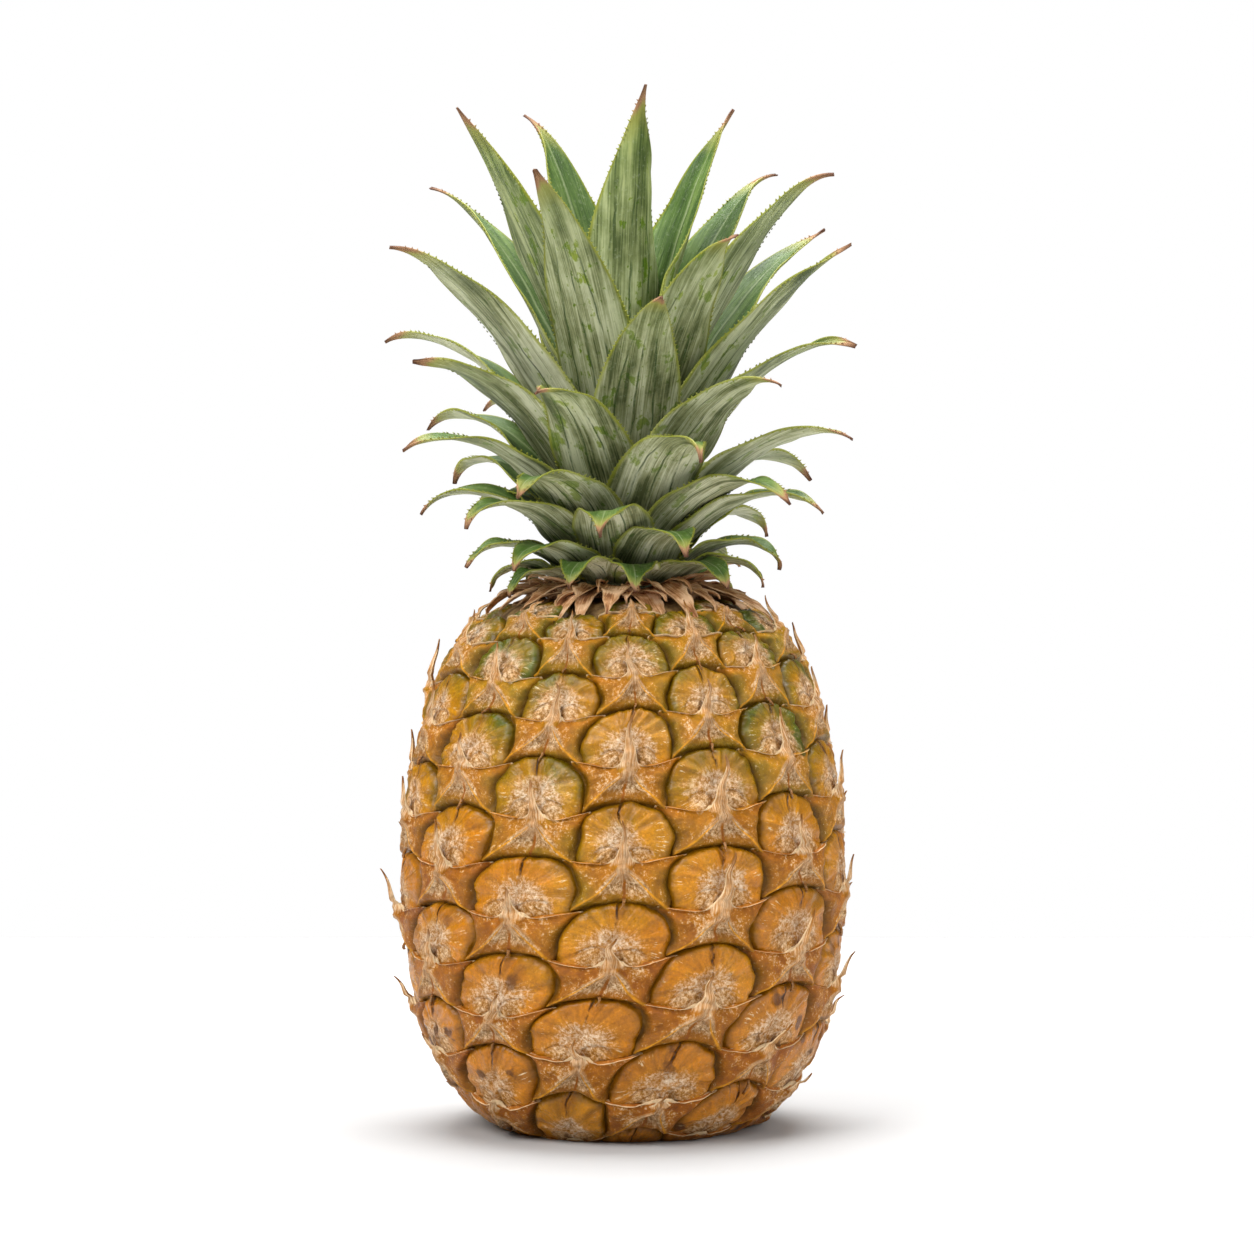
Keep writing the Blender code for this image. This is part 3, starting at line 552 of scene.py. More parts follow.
    # Two dry, leathery shells beside the spike, 7 mm by 5 mm, with a brown crease over each
    across = add(tree, "Math", {0: aside, 1: 1 / 3.4, 2: -4.6 / 3.4}, operation="MULTIPLY_ADD")
    along = add(tree, "Math", {0: up, 1: 1 / 2.4, 2: 4.2 / 2.4}, operation="MULTIPLY_ADD")
    shell = add(tree, "CombineXYZ", {"X": across, "Y": along})
    shell = add(tree, "VectorMath", {0: shell}, operation="LENGTH").outputs["Value"]
    shell = add(tree, "Math", {0: patchy, 1: 0.9, 2: shell}, operation="MULTIPLY_ADD")
    in_shell = add(tree, "MapRange", {"Value": shell, "From Min": 1.62, "From Max": 1.30, "To Max": 0.5})
    hide = add(tree, "ValToRGB", {"Fac": pores})
    set_stops(hide, ((0.36, "7a5230"), (0.50, "ad845a"), (0.64, "d8bc98")))
    crease = add(tree, "Math", {0: shell, 1: -1.66}, operation="ADD")
    crease = add(tree, "Math", {0: crease}, operation="ABSOLUTE")
    crease = add(tree, "MapRange", {"Value": crease, "From Min": 0.20, "From Max": 0.02, "To Max": 0.32})
    over_shell = add(tree, "MapRange", {"Value": up, "From Min": -5.0, "From Max": -3.5})
    crease = add(tree, "Math", {0: crease, 1: over_shell}, operation="MULTIPLY")

    # A dark crack over the tip of the spike, up to the rim, 0.4 mm wide
    wobble = add(tree, "TexNoise", {"Vector": place, "Scale": 1 / (4 * MM), "Detail": 2.0})
    crack = add(tree, "Math", {0: wobble, 1: 2.4, 2: -1.2}, operation="MULTIPLY_ADD")
    crack = add(tree, "Math", {0: right, 1: crack}, operation="ADD")
    crack = add(tree, "Math", {0: crack}, operation="ABSOLUTE")
    crack = add(tree, "MapRange", {"Value": crack, "From Min": 0.45, "From Max": 0.08})
    over_spike = add(tree, "MapRange", {"Value": up, "From Min": 4.0, "From Max": 6.5})
    cracked = add(tree, "MapRange", {"Value": mottle, "From Min": 0.36, "From Max": 0.52})
    for mask in (over_spike, cracked):
        crack = add(tree, "Math", {0: crack, 1: mask}, operation="MULTIPLY")

    # Brown bruises, 2 to 4 mm across, on the ripe lower half
    bruise = add(tree, "TexVoronoi", {"Vector": place, "Scale": 1 / (9 * MM), "Randomness": 1.0})
    bruise = add(tree, "Math", {0: mottle, 1: 0.5, 2: bruise.outputs["Distance"]}, operation="MULTIPLY_ADD")
    bruise = add(tree, "MapRange", {"Value": bruise, "From Min": 0.53, "From Max": 0.39},
                 interpolation_type="SMOOTHSTEP")
    low = add(tree, "MapRange", {"Value": height, "From Min": 80 * MM, "From Max": 40 * MM, "To Max": 0.8})
    sparse = add(tree, "MapRange", {"Value": broad, "From Min": 0.43, "From Max": 0.52})
    for mask in (low, sparse):
        bruise = add(tree, "Math", {0: bruise, 1: mask}, operation="MULTIPLY")

    # Painted glints: near-white flecks in rows near the rim that stand in for light caught on the wet wax,
    # each about 0.5 mm by 1.5 mm
    painted_glint_fleck, near_rim, not_edge, some = (
        add(tree, "MapRange", {"Value": field, "From Min": none, "From Max": full})
        for field, none, full in ((fine_streak, 0.57, 0.64), (rim, 0.62, 0.72), (rim, 0.92, 0.84),
                                  (patchy, 0.48, 0.58)))
    off_spike = add(tree, "MapRange", {"Value": aside, "From Min": 4.0, "From Max": 9.0, "To Min": 0.15})
    for mask in (near_rim, not_edge, some, off_spike, 0.75):
        painted_glint_fleck = add(tree, "Math", {0: painted_glint_fleck, 1: mask}, operation="MULTIPLY")

    # The groove: brown, then dark brown at its foot, partly the rind's own brown and partly painted shade in
    # the groove
    groove = add(tree, "MapRange", {"Value": rim, "From Min": 0.84, "From Max": 1.0, "To Max": 0.75})
    groove_foot_shade = add(tree, "MapRange", {"Value": rim, "From Min": 1.02, "From Max": 1.12})

    # The wax, with painted shade in the folds between the lobes and painted light on the lobes, and what lies
    # over it, one upon the other
    folds = add(tree, "MapRange", {"Value": lobes, "From Min": 0.34, "From Max": 0.62,
                                   "To Min": 0.70, "To Max": 1.14})
    colour = add(tree, "HueSaturation", {"Color": wax, "Value": folds})
    for cover, over in ((stain, "96571e"), (bloom, chalk), (painted_hollow_shade, "4a2510"), (in_shell, hide),
                        (crease, "54300f"), (crack, "3a1e0b"), (bruise, "45200c"), (painted_glint_fleck, "f6efd4"),
                        (groove, "6e4a08"), (groove_foot_shade, "4a3008")):
        colour = add(tree, "Mix", {"Factor": cover, "A": colour, "B": over}, data_type="RGBA")
    speckle = add(tree, "MapRange", {"Value": pores, "From Min": 0.34, "From Max": 0.66,
                                     "To Min": 0.72, "To Max": 1.08})
    colour = add(tree, "HueSaturation", {"Color": colour, "Value": speckle, "Saturation": 1.27})

    dry = add(tree, "Math", {0: bloom, 1: in_shell}, operation="MAXIMUM")
    rough = add(tree, "MapRange", {"Value": dry, "To Min": 0.15, "To Max": 0.57})
    rough = add(tree, "Math", {0: patchy, 1: 0.30, 2: rough}, operation="MULTIPLY_ADD")

    # Relief: smooth lobes 0.6 mm deep at the rim, a finely wrinkled dry middle, the crack and the creases
    outer = add(tree, "MapRange", {"Value": rim, "From Min": 0.20, "From Max": 0.80, "To Min": 0.4})
    relief = add(tree, "Math", {0: lobes, 1: outer}, operation="MULTIPLY")
    wrinkles = add(tree, "Math", {0: fine_streak, 1: 0.6, 2: pores}, operation="MULTIPLY_ADD")
    wrinkled = add(tree, "MapRange", {"Value": dry, "To Min": 0.12, "To Max": 0.22})
    for field, share in ((wrinkles, wrinkled), (mottle, 0.28), (crack, -0.5), (crease, -0.6)):
        relief = add(tree, "Math", {0: field, 1: share, 2: relief}, operation="MULTIPLY_ADD")
    bump = surface(tree, shader, colour, rough, relief, 1.0, 1.2)
    tree.links.new(bump.outputs["Normal"], shader.inputs["Coat Normal"])
    return material


def dry_bract():
    """Pineapple bract: a scale that dries from its edge inwards to brown paper, with fibres from its middle.

    The eye sees golden tan skin with a cream edge, olive at the foot, grey and speckled between its ridges.
    """
    material, tree, shader, place = new_material("dry_bract", 0.6, 1.45)
    shader.inputs["Specular IOR Level"].default_value = 0.35
    height = add(tree, "SeparateXYZ", {"Vector": place}).outputs["Z"]
    spot, zone, edges, grain = (add(tree, "Attribute", {}, attribute_name=name).outputs["Vector"]
                                for name in ("spot", "zone", "edge", "grain"))
    right, up, _ = add(tree, "SeparateXYZ", {"Vector": spot}).outputs
    outward, chance, ridge = add(tree, "SeparateXYZ", {"Vector": zone}).outputs
    free_edge, spike, sunk = add(tree, "SeparateXYZ", {"Vector": edges}).outputs

    # Patches 28 mm and 7 mm wide, mottling of 2.5 mm, specks of 0.8 mm
    broad, patchy, mottle, specks = (
        add(tree, "TexNoise",
            {"Vector": place, "Scale": 1 / (wide * MM), "Detail": detail, "Roughness": rough})
        for wide, detail, rough in ((28, 2, 0.5), (7, 4, 0.6), (2.5, 4, 0.65), (0.8, 4, 0.8)))
    # Fibres 0.4 mm apart, along the grain from the middle outwards
    fibre = add(tree, "TexNoise", {"Vector": grain, "Scale": 1.0, "Detail": 4.0, "Roughness": 0.7})

    # Ripeness: yellow and green at the shoulder, orange tan below
    ripe = add(tree, "MapRange", {"Value": height, "From Min": 150 * MM, "From Max": 40 * MM,
                                  "To Min": -0.45, "To Max": 0.15})
    for field, share in ((broad, 0.8), (patchy, 0.5)):
        ripe = add(tree, "Math", {0: field, 1: share, 2: ripe}, operation="MULTIPLY_ADD")
    ripe = add(tree, "Math", {0: chance, 1: 0.25, 2: ripe}, operation="MULTIPLY_ADD", use_clamp=True)
    flesh = add(tree, "ValToRGB", {"Fac": ripe})
    set_stops(flesh, ((0.0, "847a0c"), (0.25, "b9850c"), (0.6, "b87010"), (1.0, "a25a14")))

    # Towards its foot and its flanks it stays olive
    below = add(tree, "Math", {0: patchy, 1: 9.0, 2: up}, operation="MULTIPLY_ADD")
    below = add(tree, "MapRange", {"Value": below, "From Min": -5.5, "From Max": -12.0})
    flank = add(tree, "MapRange", {"Value": outward, "From Min": 0.50, "From Max": 0.90, "To Max": 0.9})
    under_wing = add(tree, "MapRange", {"Value": up, "From Min": -6.5, "From Max": -8.5})
    flank = add(tree, "Math", {0: flank, 1: under_wing}, operation="MULTIPLY")
    below = add(tree, "Math", {0: below, 1: flank}, operation="MAXIMUM")
    unripe = add(tree, "MapRange", {"Value": ripe, "To Min": 1.0, "To Max": 0.55})
    olive = add(tree, "Math", {0: below, 1: unripe}, operation="MULTIPLY")
    olives = add(tree, "ValToRGB", {"Fac": ripe})
    set_stops(olives, ((0.0, "3a4f10"), (0.4, "6e600a"), (1.0, "875208")))

    # Whitish dust over the flanks, in patches, thicker along the fibres
    dry = -0.25
    for field, share in ((fibre, 0.5), (patchy, 1.1), (mottle, 0.9)):
        dry = add(tree, "Math", {0: field, 1: share, 2: dry}, operation="MULTIPLY_ADD")
    dry = add(tree, "MapRange", {"Value": dry, "From Min": 0.93, "From Max": 1.12, "To Max": 0.8})
    inward = add(tree, "MapRange", {"Value": outward, "From Min": 0.95, "From Max": 0.55})
    dry = add(tree, "Math", {0: dry, 1: inward}, operation="MULTIPLY")
    paper = add(tree, "ValToRGB", {"Fac": specks})
    set_stops(paper, ((0.38, "96653a"), (0.50, "c4976c"), (0.62, "ecd6b8")))

    # Between the ridges the foot of the spike spreads as a fan of pale pinkish paper with dark specks
    husk = add(tree, "ValToRGB", {"Fac": fibre})
    set_stops(husk, ((0.36, "ad7f58"), (0.48, "cda27c"), (0.60, "ecd2b4")))
    across = add(tree, "Math", {0: right}, operation="ABSOLUTE")
    down = add(tree, "Math", {0: up, 1: -0.95, 2: -5.4}, operation="MULTIPLY_ADD")
    fan = add(tree, "Math", {0: across, 1: down}, operation="SUBTRACT")
    fan = add(tree, "Math", {0: fibre, 1: 2.5, 2: fan}, operation="MULTIPLY_ADD")
    fan = add(tree, "MapRange", {"Value": fan, "From Min": 1.9, "From Max": 0.9, "To Max": 0.95})
    fan_foot = add(tree, "Math", {0: mottle, 1: 5.0, 2: up}, operation="MULTIPLY_ADD")
    fan_foot = add(tree, "MapRange", {"Value": fan_foot, "From Min": -11.6, "From Max": -9.2, "To Min": 0.1})
    fan = add(tree, "Math", {0: fan, 1: fan_foot}, operation="MULTIPLY")
    low = add(tree, "MapRange", {"Value": up, "From Min": -8.5, "From Max": -11.5, "To Max": 0.85})
    fuzz = add(tree, "Math", {0: fan, 1: low}, operation="MULTIPLY")
    grey = add(tree, "ValToRGB", {"Fac": specks})
    set_stops(grey, ((0.38, "4a3218"), (0.44, "8a6844"), (0.50, "bd9a74"), (0.60, "ead6ba")))

    # Painted glints: pale specks all over that stand in for small wet highlights
    painted_glint_fleck = add(tree, "MapRange", {"Value": specks, "From Min": 0.57, "From Max": 0.66, "To Max": 0.7})
    some = add(tree, "MapRange", {"Value": mottle, "From Min": 0.44, "From Max": 0.60})
    painted_glint_fleck = add(tree, "Math", {0: painted_glint_fleck, 1: some}, operation="MULTIPLY")

    # Brown rib down the middle, 1 mm wide
    wobble = add(tree, "Math", {0: patchy, 1: 2.4, 2: -1.2}, operation="MULTIPLY_ADD")
    rib = add(tree, "Math", {0: right, 1: wobble}, operation="ADD")
    rib = add(tree, "Math", {0: rib}, operation="ABSOLUTE")
    rib = add(tree, "MapRange", {"Value": rib, "From Min": 0.55, "From Max": 0.20, "To Max": 0.85})
    at_foot = add(tree, "MapRange", {"Value": up, "From Min": -9.0, "From Max": -11.0})
    rib = add(tree, "Math", {0: rib, 1: at_foot}, operation="MULTIPLY")

    # Ridges painted lighter as lit crests, the spike and its brown tip, the cream free edge, pale paper with
    # a painted highlight along it, and painted shade in the groove at the other edges
    crest, on_spike, tip, cream, groove = (
        add(tree, "MapRange", {"Value": field, "From Min": none, "From Max": full, "To Max": most})
        for field, none, full, most in ((ridge, 0.15, 0.8, 0.8), (spike, 0.0, 0.12, 1.0),
                                        (spike, 0.66, 1.0, 0.7), (free_edge, 0.25, 0.75, 0.9),
                                        (sunk, 0.05, 0.9, 0.85)))

    # The skin and what lies over it, one upon the other
    colour = flesh
    for cover, over in ((olive, olives), (dry, paper), (fan, husk), (fuzz, grey), (painted_glint_fleck, "f0e2c4"),
                        (rib, "9a561e"), (crest, "dfa25a"), (on_spike, husk), (tip, "7a4c28"),
                        (cream, "f0d8b6"), (groove, "5e4008")):
        colour = add(tree, "Mix", {"Factor": cover, "A": colour, "B": over}, data_type="RGBA")
    speckle = add(tree, "MapRange", {"Value": mottle, "From Min": 0.34, "From Max": 0.66,
                                     "To Min": 0.68, "To Max": 1.10})
    colour = add(tree, "HueSaturation", {"Color": colour, "Value": speckle, "Saturation": 1.22})
    rough = add(tree, "MapRange", {"Value": dry, "To Min": 0.38, "To Max": 0.75})
    rough = add(tree, "Math", {0: on_spike, 1: rough, 2: 0.2}, operation="SMOOTH_MAX")

    # Relief: fine fibres and specks
    relief = fibre
    for field, share in ((specks, 0.6), (mottle, 0.8)):
        relief = add(tree, "Math", {0: field, 1: share, 2: relief}, operation="MULTIPLY_ADD")
    surface(tree, shader, colour, rough, relief, 0.9, 0.45)
    return material


def groove_rind():
    """The rind between and under the eyes: dark brown in the grooves, partly its own colour and partly
    painted shade, dry tan at the stalk and the crown.
    """
    material, tree, shader, place = new_material("groove_rind", 0.6, 1.45)
    height = add(tree, "SeparateXYZ", {"Vector": place}).outputs["Z"]
    mottle = add(tree, "TexNoise", {"Vector": place, "Scale": 1 / (4 * MM), "Detail": 5.0, "Roughness": 0.7})
    # Dark brown deep in the grooves, partly painted shade
    groove_shade_brown = add(tree, "ValToRGB", {"Fac": mottle})
    set_stops(groove_shade_brown, ((0.35, "241c06"), (0.65, "4c3a0e")))
    dried = add(tree, "ValToRGB", {"Fac": mottle})
    set_stops(dried, ((0.35, "4a3218"), (0.65, "9a7a4a")))
    base = add(tree, "MapRange", {"Value": height, "From Min": 3 * MM, "From Max": 1 * MM})
    crown = add(tree, "MapRange", {"Value": height, "From Min": 137 * MM, "From Max": 143 * MM})
    dry = add(tree, "Math", {0: base, 1: crown}, operation="MAXIMUM")
    colour = add(tree, "Mix", {"Factor": dry, "A": groove_shade_brown, "B": dried}, data_type="RGBA")
    rough = add(tree, "MapRange", {"Value": mottle, "To Min": 0.5, "To Max": 0.85})
    surface(tree, shader, colour, rough, mottle, 0.8, 0.8)
    return material


def cut_stalk():
    """The cut end of the stalk: a sawn, dried cross-section of tough fibres set in pith."""
    material, tree, shader, place = new_material("cut_stalk", 0.85, 1.5)
    # Fibre ends 0.9 mm apart
    ends = add(tree, "TexVoronoi", {"Vector": place, "Scale": 1 / (0.9 * MM)})
    mottle = add(tree, "TexNoise", {"Vector": place, "Scale": 1 / (4 * MM), "Detail": 4.0})
    pith = add(tree, "ValToRGB", {"Fac": mottle})
    set_stops(pith, ((0.35, "8a6a42"), (0.65, "c4a675")))
    dot = add(tree, "MapRange", {"Value": ends.outputs["Distance"], "From Min": 0.32, "From Max": 0.18,
                                 "To Max": 0.8})
    colour = add(tree, "Mix", {"Factor": dot, "A": pith, "B": "5a3d20"}, data_type="RGBA")
    rough = add(tree, "MapRange", {"Value": mottle, "To Min": 0.75, "To Max": 0.95})
    surface(tree, shader, colour, rough, dot, 0.7, 0.4)
    return material


def spined_leaf():
    """Pineapple leaf: thick and fibrous, its outer face powdered with grey scales, its inner face bare green.

    The eye sees silvery grey-green with fine lines along it, dark green where the powder is rubbed off, a
    yellow-green spined margin and a dry brown tip.
    """
    material, tree, shader, place = new_material("spined_leaf", 0.5, 1.45)
    blade, span, kind = (add(tree, "Attribute", {}, attribute_name=name).outputs["Vector"]
                         for name in ("blade", "span", "kind"))
    across, along, _ = add(tree, "SeparateXYZ", {"Vector": blade}).outputs
    inner, tooth, fresh = add(tree, "SeparateXYZ", {"Vector": kind}).outputs
    middle = add(tree, "Math", {0: across}, operation="ABSOLUTE")

    # Marks along the blade, as (mm across, mm along): veins, the bands they lie in, blots and scuffs
    marks = []
    for wide, long, detail, rough in ((0.4, 25, 3, 0.6), (4, 30, 3, 0.5), (5, 9, 6, 0.62), (1.5, 3, 4, 0.6)):
        stretched = add(tree, "VectorMath", {0: span, 1: (1 / wide, 1 / long, 1.0)}, operation="MULTIPLY")
        marks.append(add(tree, "TexNoise", {"Vector": stretched, "Scale": 1.0, "Detail": detail,
                                            "Roughness": rough}))
    vein, band, blot, scuff = marks
    dust = add(tree, "TexNoise", {"Vector": place, "Scale": 1 / (1.2 * MM), "Detail": 3.0, "Roughness": 0.7})

    # Outer face: powder over green, rubbed off in blots and scuffs and towards the tip and the root
    powder = 0.0
    for field, share in ((vein, 0.30), (blot, 0.25), (band, 0.45)):
        powder = add(tree, "Math", {0: field, 1: share, 2: powder}, operation="MULTIPLY_ADD")
    grey, green, inside = (add(tree, "ValToRGB", {"Fac": powder}) for _ in range(3))
    set_stops(grey, ((0.40, "585e38"), (0.48, "a5a67c"), (0.56, "dedebe")))
    set_stops(green, ((0.40, "345006"), (0.50, "5f7a10"), (0.60, "95a534")))
    bare = 0.0
    for field, none, full, most in ((blot, 0.57, 0.62, 0.8), (scuff, 0.62, 0.68, 0.8),
                                    (along, 0.45, 1.0, 0.55),
                                    (along, 0.22, 0.0, 0.6)):
        rubbed = add(tree, "MapRange", {"Value": field, "From Min": none, "From Max": full, "To Max": most})
        bare = add(tree, "Math", {0: bare, 1: rubbed}, operation="MAXIMUM")
    bare = add(tree, "Math", {0: bare, 1: fresh}, operation="ADD", use_clamp=True)
    outside = add(tree, "Mix", {"Factor": bare, "A": grey, "B": green}, data_type="RGBA")

    # Inner face: bare green with a pale line down the middle
    set_stops(inside, ((0.36, "2b4510"), (0.49, "466420"), (0.62, "718a45")))
    pale = add(tree, "MapRange", {"Value": middle, "From Min": 0.08, "From Max": 0.0, "To Max": 0.55})
    inside = add(tree, "Mix", {"Factor": pale, "A": inside, "B": "a9b589"}, data_type="RGBA")

    # Three creases along the blade where it was folded in the bud, 0.4 mm wide
    wander = add(tree, "VectorMath", {0: span, 1: (0.0, 1 / 12, 1.0)}, operation="MULTIPLY")
    wander = add(tree, "TexNoise", {"Vector": wander, "Scale": 1.0, "Detail": 3.0})
    wander = add(tree, "Math", {0: wander, 1: 0.16, 2: across}, operation="MULTIPLY_ADD")
    folds = add(tree, "Math", {0: wander, 1: 0.21}, operation="PINGPONG")
    folds = add(tree, "MapRange", {"Value": folds, "From Min": 0.032, "From Max": 0.008, "To Max": 0.8})
    for field, none, full in ((blot, 0.38, 0.52), (middle, 0.75, 0.60), (along, 0.80, 0.62)):
        mask = add(tree, "MapRange", {"Value": field, "From Min": none, "From Max": full})
        folds = add(tree, "Math", {0: folds, 1: mask}, operation="MULTIPLY")

    # Pale dust; painted shade, dark towards the root deep between the leaves; a yellow-green margin 0.8 mm
    # wide, and its spines
    dusty, deep, margin = (
        add(tree, "MapRange", {"Value": field, "From Min": none, "From Max": full, "To Max": most})
        for field, none, full, most in ((dust, 0.56, 0.75, 0.35), (along, 0.30, 0.04, 0.75),
                                        (middle, 0.90, 0.97, 0.8)))
    margin = add(tree, "Math", {0: margin, 1: tooth}, operation="MAXIMUM")

    # The tip dries to yellow, tan, then dark brown, deeper along the margins
    dryness = along
    for field, share in ((band, 0.10), (middle, 0.03)):
        dryness = add(tree, "Math", {0: field, 1: share, 2: dryness}, operation="MULTIPLY_ADD")
    yellowed, tan, brown = (
        add(tree, "MapRange", {"Value": dryness, "From Min": none, "From Max": full, "To Max": most})
        for none, full, most in ((0.90, 0.99, 0.8), (0.985, 1.015, 1.0), (1.02, 1.07, 1.0)))

    # The outer face and what lies over it, one upon the other
    colour = outside
    for cover, over in ((inner, inside), (folds, "34501a"), (dusty, "b7c0a0"), (deep, "202a0c"),
                        (margin, "8f9326"), (yellowed, "9c9a45"), (tan, "a27a56"), (brown, "5f3c28")):
        colour = add(tree, "Mix", {"Factor": cover, "A": colour, "B": over}, data_type="RGBA")
    rough = add(tree, "MapRange", {"Value": bare, "To Min": 0.58, "To Max": 0.42})
    rough = add(tree, "Math", {0: tan, 1: 0.3, 2: rough}, operation="MULTIPLY_ADD")
    relief = vein
    for field, share in ((folds, -1.0), (dust, 0.2)):
        relief = add(tree, "Math", {0: field, 1: share, 2: relief}, operation="MULTIPLY_ADD")
    surface(tree, shader, colour, rough, relief, 0.7, 0.35)
    return material


def dead_leaf():
    """The collar: the lowest leaves, dead and dried to brittle brown paper, torn along their fibres."""
    material, tree, shader, place = new_material("dead_leaf", 0.75, 1.45)
    blade, span = (add(tree, "Attribute", {}, attribute_name=name).outputs["Vector"]
                   for name in ("blade", "span"))
    # Fibres 0.5 mm apart
    stretched = add(tree, "VectorMath", {0: span, 1: (1 / 0.5, 1 / 9, 1.0)}, operation="MULTIPLY")
    fibre = add(tree, "TexNoise", {"Vector": stretched, "Scale": 1.0, "Detail": 3.0, "Roughness": 0.65})
    mottle = add(tree, "TexNoise", {"Vector": place, "Scale": 1 / (6 * MM), "Detail": 4.0})
    tone = add(tree, "Math", {0: mottle, 1: 0.6}, operation="MULTIPLY")
    tone = add(tree, "Math", {0: fibre, 1: 0.4, 2: tone}, operation="MULTIPLY_ADD")
    straw = add(tree, "ValToRGB", {"Fac": tone})
    set_stops(straw, ((0.40, "7d4a24"), (0.49, "b98556"), (0.58, "e4bd96")))
    across = add(tree, "SeparateXYZ", {"Vector": blade}).outputs["X"]
    edge = add(tree, "Math", {0: across}, operation="ABSOLUTE")
    edge = add(tree, "MapRange", {"Value": edge, "From Min": 0.75, "From Max": 1.0, "To Max": 0.5})
    colour = add(tree, "Mix", {"Factor": edge, "A": straw, "B": "d3b084"}, data_type="RGBA")
    rough = add(tree, "MapRange", {"Value": tone, "To Min": 0.6, "To Max": 0.85})
    surface(tree, shader, colour, rough, fibre, 0.8, 0.4)
    return material


def polar_faces(rings, sectors):
    """Faces of a disc of points: its middle, then ring after ring."""
    faces = [(0, 1 + (sector + 1) % sectors, 1 + sector)[::-1] for sector in range(sectors)]
    for ring in range(rings - 1):
        inner, outer = 1 + ring * sectors, 1 + (ring + 1) * sectors
        for sector in range(sectors):
            beside = (sector + 1) % sectors
            faces.append((inner + sector, outer + sector, outer + beside, inner + beside))
    return faces


def rim_reach(polygon, middle, angles):
    """Distance from the middle to a closed smooth rim, in each direction."""
    ring = np.array(polygon + polygon[:1], dtype=float)
    dense = smooth_line(ring, 12) - np.array(middle)
    angle = np.unwrap(np.arctan2(dense[:, 1], dense[:, 0]))
    reach = np.hypot(dense[:, 0], dense[:, 1])
    if angle[-1] < angle[0]:
        angle, reach = angle[::-1], reach[::-1]
    wrapped = (angles - angle[0]) % (2 * math.pi) + angle[0]
    return np.interp(wrapped, angle, reach)


def tube_faces(rows, around):
    """Faces between each closed ring of points and the next."""
    faces = []
    for row in range(rows):
        for side in range(around):
            low, high = row * around, (row + 1) * around
            beside = (side + 1) % around
            faces.append((low + side, low + beside, high + beside, high + side))
    return faces


def closed_tube(rows, around):
    """The same, with a face over each end."""
    last = rows * around
    return tube_faces(rows, around) + [tuple(range(around))[::-1], tuple(range(last, last + around))]


class DomePattern:
    """The flat pattern of a dome: a cushion with a navel, two cheeks, and a skirt sunk in the groove."""

    def __init__(self):
        angles = np.arange(DOME_SECTORS) * 2 * math.pi / DOME_SECTORS
        reach = rim_reach(DOME_RIM, DOME_MIDDLE, angles)
        middle = np.array(DOME_MIDDLE)
        way = np.stack((np.cos(angles), np.sin(angles)), axis=1)
        shares = 1 - (1 - np.arange(1, DOME_RINGS) / (DOME_RINGS - 1)) ** 1.35
        flat, rim, turn = [middle[None, :]], [np.zeros(1)], [np.zeros(1)]
        for share in shares:
            flat.append(middle + way * (reach * share)[:, None])
            rim.append(np.full(DOME_SECTORS, share))
            turn.append(angles)
        flat.append(middle + way * (reach + DOME_SKIRT)[:, None])
        rim.append(np.full(DOME_SECTORS, 1.12))
        turn.append(angles)
        self.flat = np.concatenate(flat)
        self.rim = np.concatenate(rim)
        self.turn = np.concatenate(turn)
        self.faces = polar_faces(DOME_RINGS, DOME_SECTORS)

    def lobed(self, seed):
        """The flat pattern of one eye, with its rim drawn in and out in lobes."""
        ring = places_of(np.cos(self.turn), np.sin(self.turn), 1 / 1.9, seed * 2.3)
        reach = 1 + LOBE_SHARE * lumps(ring, 9.0) * np.minimum(self.rim, 1)
        return DOME_MIDDLE + (self.flat - DOME_MIDDLE) * reach[:, None]

    def lifts(self, seed, size):
        """Height of each point over the outline, for one eye."""
        x, y = self.flat.T
        on_top = self.rim < 1
        # 0 over the bract's side of the dome, where the rim tucks under the bract, 1 at its other sides
        upper = smooth_step((y + 5.5) / 4.0)
        depth = DOME_DROP + (GROOVE_DEPTH - DOME_DROP) * upper
        roll = np.clip((self.rim - ROLL_FROM) / (1 - ROLL_FROM), 0, 1)
        cushion = CUSHION_RISE[0] + CUSHION_RISE[1] * np.cos(np.clip(self.rim, 0, 1) * math.pi / 2)
        lift = cushion * size - (depth + 0.45) * (1 - np.sqrt(1 - roll ** 2.2))
        lift[self.rim > 1.0] = -GROOVE_DEPTH - DOME_SKIRT_DROP
        lift -= NAVEL_DEPTH * np.exp(-(np.hypot(x - NAVEL[0], y - NAVEL[1]) / NAVEL_RADIUS) ** 2)
        # The two shells beside the spike
        shell = ((np.abs(x) - SHELL[0]) / SHELL_REACH[0]) ** 2 + ((y - SHELL[1]) / SHELL_REACH[1]) ** 2
        lift += SHELL_RISE * np.exp(-shell ** 2)
        shell_rim = np.exp(-((np.sqrt(shell) - 1.30) / 0.20) ** 2)
        lift -= SHELL_RIM_DEPTH * shell_rim * smooth_step((y - SHELL[1]) / 2.0)
        places = places_of(x, y, 4.5, seed * 7.3)
        lift += 0.45 * lumps(places) * on_top
        lift += 0.22 * lumps(places * 2.7, 5.0) * on_top
        # Sharp creases that run to the rim between swollen lobes
        ring = places_of(np.cos(self.turn), np.sin(self.turn), 1 / 2.1, seed * 3.1)
        outer = smooth_step((self.rim - 0.30) / 0.45) * on_top
        lift -= CREASE_DEPTH * np.exp(-(lumps(ring, 2.0) / 0.10) ** 2) * outer
        lift += LOBE_SWELL * lumps(ring * 2.0, 6.0) * outer
        return lift


def ridge_bow(along):
    """How far a ridge of the bract bends out of its straight line, from its middle to its end."""
    return RIDGE_BOW * 4 * along * (1 - along)


